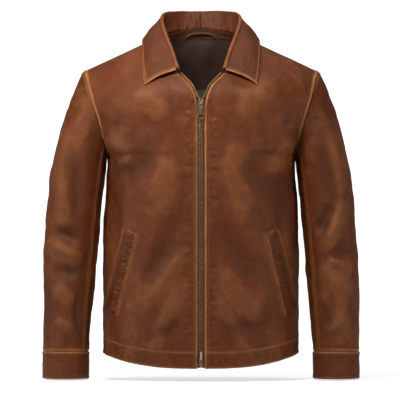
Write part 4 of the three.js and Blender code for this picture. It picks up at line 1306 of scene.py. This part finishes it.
def round_corners(corners, radius, steps=4):
    """The outline with each of its corners rounded."""
    made = []
    for last, corner, following in zip(corners[-1:] + corners[:-1], corners, corners[1:] + corners[:1]):
        corner = np.array(corner, float)
        ends = []
        for other in (last, following):
            away = np.array(other, float) - corner
            ends.append(corner + away * min(radius / np.linalg.norm(away), 0.45))
        for t in np.linspace(0, 1, steps + 1):
            made.append(tuple((1 - t) ** 2 * ends[0] + 2 * t * (1 - t) * corner + t * t * ends[1]))
    return made


def make_slider():
    """Front and back plates round the chain, with two shoulders at the top and the bail for the pull."""
    top, bottom, half = SLIDER_HIGH.z, SLIDER_LOW.z, SLIDER_HIGH.x
    face = SLIDER_LOW.y + SLIDER_FACE
    shoulders = [
        (0, top - 3.2),
        (1.8, top - 1.4),
        (3.6, top),
        (half - 0.6, top - 0.4),
        (half, top - 3.4),
        (half - 0.2, top - 9),
        (half - 1.5, bottom + 1.2),
        (half - 2.4, bottom),
    ]
    outline = shoulders + [(-x, z) for x, z in reversed(shoulders) if x > 0]
    bm = bmesh.new()
    plate(bm, outline, face, face + SLIDER_PLATE)
    plate(bm, outline, SLIDER_HIGH.y - 1.3, SLIDER_HIGH.y)
    for sign in (-1, 1):
        lip = Matrix.Translation((sign * (half - 0.8), (face + CHAIN_Y) / 2 + 0.5, (top + bottom) / 2 + 1.4))
        size = Matrix.Diagonal((1.0, CHAIN_Y - face + 0.4, 13.0, 1))
        bmesh.ops.create_cube(bm, size=1, matrix=lip @ size)
    post = Matrix.Translation((0, (face + SLIDER_HIGH.y) / 2, top - 5.5)) @ Matrix.Diagonal((0.7, 4.0, 4.0, 1))
    bmesh.ops.create_cube(bm, size=1, matrix=post)
    piece = metal_piece("zip_slider_body", bm, 0.35)
    settle(piece, "zip_slider", "zip_slider")
    bail = bmesh.new()
    middle = (0, face - 0.5, PULL_HIGH.z - 0.85)
    corners = ((-1.3, 2.2), (1.3, 2.2), (1.3, 3.4), (-1.3, 3.4))
    section = [bail.verts.new((x, middle[1], middle[2] + r)) for x, r in corners]
    ring = [bail.edges.new((a, b)) for a, b in zip(section, section[1:] + section[:1])]
    cap = bail.faces.new(section)
    half_turn = {"cent": middle, "axis": (1, 0, 0), "dvec": (0, 0, 0), "angle": math.pi, "steps": 14}
    bmesh.ops.spin(bail, geom=[*section, *ring, cap], use_merge=False, **half_turn)
    piece = metal_piece("zip_slider_bail", bail, 0.3)
    settle(piece, "zip_slider")


def make_pull():
    """A tapered tab with a window for the bail and a slot in its lower end."""
    half, top, bottom = PULL_HIGH.x, PULL_HIGH.z, PULL_LOW.z
    outline = [
        (-half * 0.62, top),
        (half * 0.62, top),
        (half * 0.78, top - 8),
        (half, bottom + 5),
        (half * 0.92, bottom),
        (-half * 0.92, bottom),
        (-half, bottom + 5),
        (-half * 0.78, top - 8),
    ]
    window = [(-2.0, top - 1.7), (2.0, top - 1.7), (2.0, top - 8.0), (-2.0, top - 8.0)]
    slot = [(-half + 2, bottom + 2.2), (half - 2, bottom + 2.2), (half - 2, bottom + 7.4), (-half + 2, bottom + 7.4)]
    bm = bmesh.new()
    holes = [round_corners(window, 1.2, 3), round_corners(slot, 1.6, 3)]
    plate(bm, round_corners(outline, 2.2, 4), PULL_LOW.y, PULL_HIGH.y, holes)
    piece = metal_piece("zip_pull_tab", bm, 0.32)
    settle(piece, "zip_pull", "zip_pull")


def make_zip_ends():
    for side in SIDES:
        sign = 1 if side == "left" else -1
        bm = bmesh.new()
        middle = (STOP_LOW + STOP_HIGH) / 2
        size = Matrix.Diagonal((CHAIN_HALF, CHAIN_THICK, 3.0, 1))
        turn = Matrix.Rotation(math.radians(-50 * sign), 4, "Y")
        place = Matrix.Translation((sign * middle.x, middle.y, middle.z)) @ turn
        bmesh.ops.create_cube(bm, size=1, matrix=place @ size)
        piece = metal_piece("zip_top_stop_block_" + side, bm, 0.5)
        settle(piece, "body", f"zip_top_stop_{side}")
    bm = bmesh.new()
    low, high = ZIP_BOX_LOW, ZIP_BOX_HIGH
    middle, size = (low + high) / 2, high - low
    outline = [(-size.x / 2, low.z), (size.x / 2, low.z), (size.x / 2, high.z - 2), (size.x / 2 - 1, high.z)]
    outline += [(1.0, high.z), (0.0, high.z - 2.5), (-1.0, high.z), (-size.x / 2, high.z)]
    plate(bm, round_corners(outline, 0.8, 2), low.y, high.y)
    piece = metal_piece("zip_retainer_box", bm, 0.3, 2, "oxidised_brass")
    settle(piece, "body", "zip_box")
    bm = bmesh.new()
    middle = (PIN_LOW + PIN_HIGH) / 2
    radius, length = (PIN_HIGH.x - PIN_LOW.x) / 2, PIN_HIGH.z - PIN_LOW.z
    place = Matrix.Translation(middle)
    bmesh.ops.create_cone(
        bm, cap_ends=True, segments=16, radius1=radius * 0.8, radius2=radius, depth=length, matrix=place
    )
    piece = metal_piece("zip_insertion_pin", bm, 0.2, 2, "oxidised_brass")
    settle(piece, "body", "zip_pin")


# ---- Materials ----
def linear(code):
    """sRGB hex to a linear colour."""
    parts = [int(code[i : i + 2], 16) / 255 for i in (0, 2, 4)]
    return tuple(c / 12.92 if c <= 0.04045 else ((c + 0.055) / 1.055) ** 2.4 for c in parts) + (1.0,)


def add(made, kind, settings=(), inputs=(), stops=()):
    """Adds a node with its settings; an input is a value, or (node, output) to link from.

    The stops of a colour ramp are pairs of position and hex colour."""
    node = made.node_tree.nodes.new(kind)
    for key, value in dict(settings).items():
        setattr(node, key, value)
    while stops and len(node.color_ramp.elements) < len(stops):
        node.color_ramp.elements.new(0.5)
    for number, (position, code) in enumerate(stops):
        node.color_ramp.elements[number].position = position
        node.color_ramp.elements[number].color = linear(code)
    for key, value in dict(inputs).items():
        if isinstance(value, tuple) and isinstance(value[0], bpy.types.Node):
            made.node_tree.links.new(value[0].outputs[value[1]], node.inputs[key])
        else:
            node.inputs[key].default_value = value
    return node


def blank_material(name, space="Object"):
    """A material with no nodes but its coordinates, and those coordinates."""
    made = bpy.data.materials.new(name)
    made.use_nodes = True
    made.node_tree.nodes.clear()
    return made, (add(made, "ShaderNodeTexCoord"), space)


def surfaced(made, inputs):
    """Ends a material with its Principled surface."""
    shader = add(made, "ShaderNodeBsdfPrincipled", {}, inputs)
    add(made, "ShaderNodeOutputMaterial", {}, {"Surface": (shader, 0)})


def per_metre(millimetres):
    """Texture scale for features that many millimetres across."""
    return 1 / (millimetres * MM)


def cowhide(name, deep, body, pulled, worn, gloss):
    """Full-grain cowhide: wax that has moved leaves pale and dark patches, rubbed edges show the tan, and the
    grain is a fine pebble broken by creases. Painted light pales fold crests towards the tan; painted shade
    darkens fold bottoms, the pocket mouth, the welt and the collar towards the deep colour."""
    made, place = blank_material(name)
    noises = []
    # Hide patches, finger-sized blotches of moved wax, and the specks of single pores.
    for size, detail, rough, warp in ((120, 3, 0.5, 0.3), (17, 8, 0.75, 0.3), (2.6, 3, 0.75, 0.0)):
        wanted = {"Vector": place, "Scale": per_metre(size), "Detail": detail, "Roughness": rough, "Distortion": warp}
        noises.append(add(made, "ShaderNodeTexNoise", {}, wanted))
    total = None
    for grain, share in zip(noises, (0.26, 0.42, 0.42)):
        inputs = {0: (grain, 0), 1: share, 2: (total, 0) if total else -0.05}
        total = add(made, "ShaderNodeMath", {"operation": "MULTIPLY_ADD"}, inputs)
    stops = ((0.34, deep), (0.47, body), (0.54, body), (0.64, pulled))
    colour = add(made, "ShaderNodeValToRGB", {}, {"Fac": (total, 0)}, stops)
    # The attribute holds real wear and painted light and shade, set where each piece is laid.
    wear = add(made, "ShaderNodeAttribute", {"attribute_name": "wear"})
    uneven = add(made, "ShaderNodeMath", {"operation": "MULTIPLY_ADD"}, {0: (noises[1], 0), 1: 1.6, 2: 0.0})
    # Rubbed edges and seams, and the painted light on fold crests, turn towards the worn tan.
    rubbed_and_crest_light = add(made, "ShaderNodeMath", {"operation": "MULTIPLY", "use_clamp": True}, {0: (wear, 2), 1: (uneven, 0)})
    paler = add(made, "ShaderNodeMix", {"data_type": "RGBA"}, {0: (rubbed_and_crest_light, 0), 6: (colour, 0), 7: linear(worn)})
    # Painted shade: below 0 the attribute darkens the leather towards the deep colour.
    painted_shade = add(made, "ShaderNodeMath", {"operation": "MULTIPLY", "use_clamp": True}, {0: (wear, 2), 1: -0.9})
    shade = add(made, "ShaderNodeMix", {"data_type": "RGBA"}, {0: (painted_shade, 0), 6: (paler, 2), 7: linear(deep)})
    pebbles = add(
        made, "ShaderNodeTexVoronoi", {"feature": "DISTANCE_TO_EDGE"}, {"Vector": place, "Scale": per_metre(1.6)}
    )
    pebble = add(made, "ShaderNodeMath", {"operation": "MINIMUM"}, {0: (pebbles, 0), 1: 0.15})
    creases = add(
        made, "ShaderNodeTexVoronoi", {"feature": "DISTANCE_TO_EDGE"}, {"Vector": place, "Scale": per_metre(10)}
    )
    crease = add(made, "ShaderNodeMath", {"operation": "MINIMUM"}, {0: (creases, 0), 1: 0.04})
    height = add(made, "ShaderNodeMath", {"operation": "MULTIPLY_ADD"}, {0: (crease, 0), 1: 2.0, 2: (pebble, 0)})
    height = add(made, "ShaderNodeMath", {"operation": "MULTIPLY_ADD"}, {0: (noises[1], 0), 1: 1.2, 2: (height, 0)})
    bumps = add(made, "ShaderNodeBump", {}, {"Height": (height, 0), "Strength": 0.8, "Distance": 0.0012})
    shine = add(
        made,
        "ShaderNodeMapRange",
        {},
        {"Value": (noises[1], 0), "From Min": 0.3, "From Max": 0.7, "To Min": gloss + 0.1, "To Max": gloss - 0.07},
    )
    inputs = {"Base Color": (shade, 2), "Roughness": (shine, 0), "Normal": (bumps, 0), "Specular IOR Level": 0.32}
    inputs["Specular Tint"] = linear("ffe6cf")
    surfaced(made, inputs)


def woven(name, code, spacing, roughness, sheen=0.0, slant=0.0):
    """Cloth: warp and weft `spacing` mm apart, coarser than the real threads so that they show at all."""
    made, uv = blank_material(name, "UV")
    turned = (add(made, "ShaderNodeMapping", {}, {"Vector": uv, "Rotation": (0, 0, slant)}), 0)
    threads = []
    for direction in "XY":
        wanted = {"Vector": turned, "Scale": per_metre(spacing) * math.pi / 10, "Distortion": 0.3}
        threads.append(add(made, "ShaderNodeTexWave", {"bands_direction": direction}, wanted))
    cloth = add(made, "ShaderNodeMath", {"operation": "MAXIMUM"}, {0: (threads[0], 1), 1: (threads[1], 1)})
    tone = add(made, "ShaderNodeTexNoise", {}, {"Vector": uv, "Scale": per_metre(30), "Detail": 3.0})
    base = linear(code)
    dark = tuple(c * 0.65 for c in base[:3]) + (1.0,)
    light = tuple(min(1.0, c * 1.4) for c in base[:3]) + (1.0,)
    colour = add(made, "ShaderNodeMix", {"data_type": "RGBA"}, {0: (tone, 0), 6: dark, 7: light})
    bumps = add(made, "ShaderNodeBump", {}, {"Height": (cloth, 0), "Strength": 0.5, "Distance": 0.0002})
    inputs = {"Base Color": (colour, 2), "Roughness": roughness, "Normal": (bumps, 0)}
    inputs |= {"Sheen Weight": sheen, "Sheen Roughness": 0.4}
    surfaced(made, inputs)


def cast_brass(name, code, dark, bright):
    """Antique die-cast brass: rubbed bright on top and darkened by patina in between."""
    made, place = blank_material(name)
    wanted = {"Vector": place, "Scale": per_metre(3.5), "Detail": 6.0, "Roughness": 0.7}
    patina = add(made, "ShaderNodeTexNoise", {}, wanted)
    tone = add(made, "ShaderNodeValToRGB", {}, {"Fac": (patina, 0)}, ((0.34, dark), (0.52, code), (0.75, bright)))
    scratches = add(made, "ShaderNodeTexNoise", {}, {"Vector": place, "Scale": per_metre(0.7), "Detail": 3.0})
    bumps = add(made, "ShaderNodeBump", {}, {"Height": (scratches, 0), "Strength": 0.25, "Distance": 0.0001})
    dull = add(
        made,
        "ShaderNodeMapRange",
        {},
        {"Value": (patina, 0), "From Min": 0.3, "From Max": 0.7, "To Min": 0.55, "To Max": 0.32},
    )
    inputs = {"Base Color": (tone, 0), "Metallic": 1.0, "Roughness": (dull, 0), "Normal": (bumps, 0)}
    surfaced(made, inputs)


def twisted_thread(name, code):
    """Bonded polyester thread: matt, with the shade of its twist."""
    made, place = blank_material(name)
    twist = add(made, "ShaderNodeTexNoise", {}, {"Vector": place, "Scale": per_metre(0.7), "Detail": 2.0})
    tone = add(made, "ShaderNodeValToRGB", {}, {"Fac": (twist, 0)}, ((0.3, "6d4025"), (0.65, code)))
    inputs = {"Base Color": (tone, 0), "Roughness": 0.6}
    surfaced(made, inputs)


def studio_paper(name, code):
    """Seamless white paper, lit through from behind a little so that it stays white."""
    made, place = blank_material(name)
    mottle = add(made, "ShaderNodeTexNoise", {}, {"Vector": place, "Scale": per_metre(400), "Detail": 2.0})
    tone = add(made, "ShaderNodeValToRGB", {}, {"Fac": (mottle, 0)}, ((0.2, code), (0.8, "f0f0f0")))
    seen = add(made, "ShaderNodeLightPath")
    parts = add(made, "ShaderNodeSeparateXYZ", {}, {"Vector": place})
    limits = {"Value": (parts, 1), "From Min": -0.2, "From Max": 1.5, "To Min": 0.62, "To Max": 0.95}
    behind = add(made, "ShaderNodeMapRange", {}, limits)
    glow = add(made, "ShaderNodeMath", {"operation": "MULTIPLY"}, {0: (seen, 0), 1: (behind, 0)})
    inputs = {"Base Color": (tone, 0), "Roughness": 0.9}
    inputs |= {"Emission Color": linear("ffffff"), "Emission Strength": (glow, 0)}
    surfaced(made, inputs)


def make_materials():
    shades = colours()
    deep, body, pulled, worn = (getattr(shades, "leather_" + k) for k in ("deep", "body", "pulled", "worn"))
    # The jacket's outside: warm mottled brown, tan where it is rubbed, painted light and shade on its folds, with a
    # soft waxed sheen.
    cowhide("waxed_cowhide", deep, body, pulled, worn, 0.44)
    # Pared leather of the facings and under collar: darker and duller.
    cowhide("skived_facing_cowhide", "23140d", shades.facing, "61402c", pulled, 0.58)
    # A dark lining with soft glints on its folds.
    woven("acetate_satin_lining", shades.satin, 1.4, 0.4, sheen=0.2, slant=0.6)
    # Flat, lightless cloth inside the pockets.
    woven("cotton_pocketing", shades.cotton, 1.2, 0.9, sheen=0.1)
    # Matt herringbone that frames the teeth.
    woven("polyester_zip_tape", shades.tape, 1.2, 0.85, slant=0.78)
    # Slider, pull and top stops: rubbed bright.
    cast_brass("antique_brass", shades.brass, "5a482d", "cdb88a")
    # Teeth, box and pin: browner than the slider.
    cast_brass("oxidised_brass", "a07a50", "553a22", "cba878")
    # Pale tan dashes beside each seam.
    twisted_thread("polyester_topstitch_thread", shades.thread)
    studio_paper("white_studio_paper", "e6e6e6")


# ---- Stage ----
CAMERA_AWAY = 9.0  # metres
CAMERA_HIGH = -0.327
SEEN_WIDTH = 0.8  # metres across the picture, at the jacket
SKY_LIGHT = 0.12


def staged(name, data, place, turn):
    made = bpy.data.objects.new(name, data)
    made.location, made.rotation_euler = place, turn
    bpy.context.scene.collection.objects.link(made)
    return made


def area_light(name, place, target, size, power):
    data = bpy.data.lights.new(name, "AREA")
    data.shape = "RECTANGLE"
    data.size, data.size_y = size
    data.energy = power
    staged(name, data, place, (Vector(target) - Vector(place)).to_track_quat("-Z", "Y").to_euler())


def make_backdrop():
    """A white floor that curves up into the wall behind."""
    front, turn, radius, height, half = -7.0, 1.6, 1.2, 6.0, 6.0
    floor_z = cad_box[0][2] - 0.003
    bm = bmesh.new()
    bmesh.ops.create_grid(bm, x_segments=4, y_segments=60, size=1)
    for vert in bm.verts:
        share = (vert.co.y + 1) / 2
        x = vert.co.x * half
        flat, bend = 0.5, 0.8
        if share <= flat:
            y, z = lerp(front, turn, share / flat), 0.0
        elif share <= bend:
            angle = (share - flat) / (bend - flat) * math.pi / 2
            y, z = turn + radius * math.sin(angle), radius * (1 - math.cos(angle))
        else:
            y, z = turn + radius, radius + (share - bend) / (1 - bend) * height
        vert.co = Vector((x, y, z + floor_z)) / MM
    floor = mesh_piece("studio_backdrop", bm, [bpy.data.materials["white_studio_paper"]])


def make_stage():
    middle = Vector((0.0, 0.0, (cad_box[0][2] + cad_box[1][2]) / 2))
    make_backdrop()
    area_light("key", (-0.2, -0.58, 0.44), (0.0, -0.1, -0.2), (0.5, 0.25), 8.5)
    area_light("side", (-1.2, -0.55, -0.1), (-0.2, 0.0, -0.42), (0.25, 0.7), 5.5)
    area_light("fill", (1.2, -0.6, -0.2), (0.2, 0.0, -0.42), (0.25, 0.7), 4)
    area_light("top", (0.1, 0.5, 1.6), middle, (1.4, 0.9), 8)
    world = bpy.data.worlds.new("studio")
    world.use_nodes = True
    nodes, links = world.node_tree.nodes, world.node_tree.links
    nodes.clear()
    output = nodes.new("ShaderNodeOutputWorld")
    mix = nodes.new("ShaderNodeMixShader")
    seen, lit = nodes.new("ShaderNodeBackground"), nodes.new("ShaderNodeBackground")
    seen.inputs["Strength"].default_value = 1.0
    lit.inputs["Strength"].default_value = SKY_LIGHT
    for sky in (seen, lit):
        sky.inputs["Color"].default_value = (1, 1, 1, 1)
    links.new(nodes.new("ShaderNodeLightPath").outputs["Is Camera Ray"], mix.inputs[0])
    links.new(lit.outputs[0], mix.inputs[1])
    links.new(seen.outputs[0], mix.inputs[2])
    links.new(mix.outputs[0], output.inputs["Surface"])
    bpy.context.scene.world = world
    camera_data = bpy.data.cameras.new("camera")
    camera_data.sensor_width = 36
    camera_data.lens = camera_data.sensor_width * CAMERA_AWAY / SEEN_WIDTH
    place = (-0.002, -CAMERA_AWAY, CAMERA_HIGH)
    bpy.context.scene.camera = staged("camera", camera_data, place, (math.pi / 2, 0, 0))
    bpy.context.scene.view_settings.view_transform = "Standard"


# ---- Operators, panel and registration ----
class JACKET_OT_materials(bpy.types.Operator):
    """Leather, lining, zip and thread finishes"""

    bl_idname = "jacket.materials"
    bl_label = "Make materials"

    def execute(self, context):
        make_materials()
        return {"FINISHED"}


class JACKET_OT_fronts(bpy.types.Operator):
    """The two front panels with their topstitching"""

    bl_idname = "jacket.fronts"
    bl_label = "Make fronts"

    def execute(self, context):
        for side in SIDES:
            make_front(side)
        return {"FINISHED"}


class JACKET_OT_back(bpy.types.Operator):
    """The back panel with its topstitching"""

    bl_idname = "jacket.back"
    bl_label = "Make back"

    def execute(self, context):
        make_back()
        return {"FINISHED"}


class JACKET_OT_pockets(bpy.types.Operator):
    """Pocket welts, stitched frames and bags"""

    bl_idname = "jacket.pockets"
    bl_label = "Make pockets"

    def execute(self, context):
        for side in SIDES:
            make_pocket(side)
        return {"FINISHED"}


class JACKET_OT_facings(bpy.types.Operator):
    """Leather facings inside the fronts, the hem and the neck"""

    bl_idname = "jacket.facings"
    bl_label = "Make facings"

    def execute(self, context):
        make_facings()
        return {"FINISHED"}


class JACKET_OT_linings(bpy.types.Operator):
    """Satin linings of the fronts and the back"""

    bl_idname = "jacket.linings"
    bl_label = "Make body linings"

    def execute(self, context):
        make_body_linings()
        return {"FINISHED"}


class JACKET_OT_sleeves(bpy.types.Operator):
    """Top and under sleeves with their linings"""

    bl_idname = "jacket.sleeves"
    bl_label = "Make sleeves"

    def execute(self, context):
        for side in SIDES:
            make_sleeve(side)
        return {"FINISHED"}


class JACKET_OT_cuffs(bpy.types.Operator):
    """Cuffs with their facings"""

    bl_idname = "jacket.cuffs"
    bl_label = "Make cuffs"

    def execute(self, context):
        for side in SIDES:
            make_cuff(side)
        return {"FINISHED"}


class JACKET_OT_collar(bpy.types.Operator):
    """Both halves of the collar and its under collar"""

    bl_idname = "jacket.collar"
    bl_label = "Make collar"

    def execute(self, context):
        for side in SIDES:
            make_collar(side)
        return {"FINISHED"}


class JACKET_OT_hanger_loop(bpy.types.Operator):
    """The leather loop inside the back neck"""

    bl_idname = "jacket.hanger_loop"
    bl_label = "Make hanger loop"

    def execute(self, context):
        make_hanger_loop()
        return {"FINISHED"}


class JACKET_OT_zip_tapes(bpy.types.Operator):
    """The two woven tapes"""

    bl_idname = "jacket.zip_tapes"
    bl_label = "Make zip tapes"

    def execute(self, context):
        make_zip_tapes()
        return {"FINISHED"}


class JACKET_OT_zip_teeth(bpy.types.Operator):
    """The two rows of brass teeth"""

    bl_idname = "jacket.zip_teeth"
    bl_label = "Make zip teeth"

    def execute(self, context):
        make_zip_teeth()
        return {"FINISHED"}


class JACKET_OT_zip_slider(bpy.types.Operator):
    """The slider with its bail, and the pull"""

    bl_idname = "jacket.zip_slider"
    bl_label = "Make zip slider"

    def execute(self, context):
        make_slider()
        make_pull()
        return {"FINISHED"}


class JACKET_OT_zip_ends(bpy.types.Operator):
    """Top stops, retainer box and pin"""

    bl_idname = "jacket.zip_ends"
    bl_label = "Make zip ends"

    def execute(self, context):
        make_zip_ends()
        return {"FINISHED"}


class JACKET_OT_stage(bpy.types.Operator):
    """Floor, lights, world and camera"""

    bl_idname = "jacket.stage"
    bl_label = "Make stage"

    def execute(self, context):
        make_stage()
        return {"FINISHED"}


OPERATORS = (
    JACKET_OT_materials,
    JACKET_OT_fronts,
    JACKET_OT_back,
    JACKET_OT_pockets,
    JACKET_OT_facings,
    JACKET_OT_linings,
    JACKET_OT_sleeves,
    JACKET_OT_cuffs,
    JACKET_OT_collar,
    JACKET_OT_hanger_loop,
    JACKET_OT_zip_tapes,
    JACKET_OT_zip_teeth,
    JACKET_OT_zip_slider,
    JACKET_OT_zip_ends,
    JACKET_OT_stage,
)


class JACKET_PT_pieces(bpy.types.Panel):
    """Lists the jacket's pieces in the order in which they are made"""

    bl_idname = "JACKET_PT_pieces"
    bl_label = "Leather jacket"
    bl_space_type = "VIEW_3D"
    bl_region_type = "UI"
    bl_category = "Jacket"

    def draw(self, context):
        column = self.layout.column()
        for group in (context.scene.jacket_sizes, context.scene.jacket_colours):
            for name in type(group).__annotations__:
                column.prop(group, name)
        for operator in OPERATORS:
            column.operator(operator.bl_idname)


CLASSES = (JacketSizes, JacketColours, *OPERATORS, JACKET_PT_pieces)


def register():
    for each in CLASSES:
        bpy.utils.register_class(each)
    bpy.types.Scene.jacket_sizes = bpy.props.PointerProperty(type=JacketSizes)
    bpy.types.Scene.jacket_colours = bpy.props.PointerProperty(type=JacketColours)


def unregister():
    del bpy.types.Scene.jacket_colours
    del bpy.types.Scene.jacket_sizes
    for each in reversed(CLASSES):
        bpy.utils.unregister_class(each)


def main():
    register()
    bpy.ops.jacket.materials()
    bpy.ops.jacket.fronts()
    bpy.ops.jacket.back()
    bpy.ops.jacket.pockets()
    bpy.ops.jacket.facings()
    bpy.ops.jacket.linings()
    bpy.ops.jacket.sleeves()
    bpy.ops.jacket.cuffs()
    bpy.ops.jacket.collar()
    bpy.ops.jacket.hanger_loop()
    bpy.ops.jacket.zip_tapes()
    bpy.ops.jacket.zip_teeth()
    bpy.ops.jacket.zip_slider()
    bpy.ops.jacket.zip_ends()
    bpy.ops.jacket.stage()


if __name__ == "__main__":
    main()
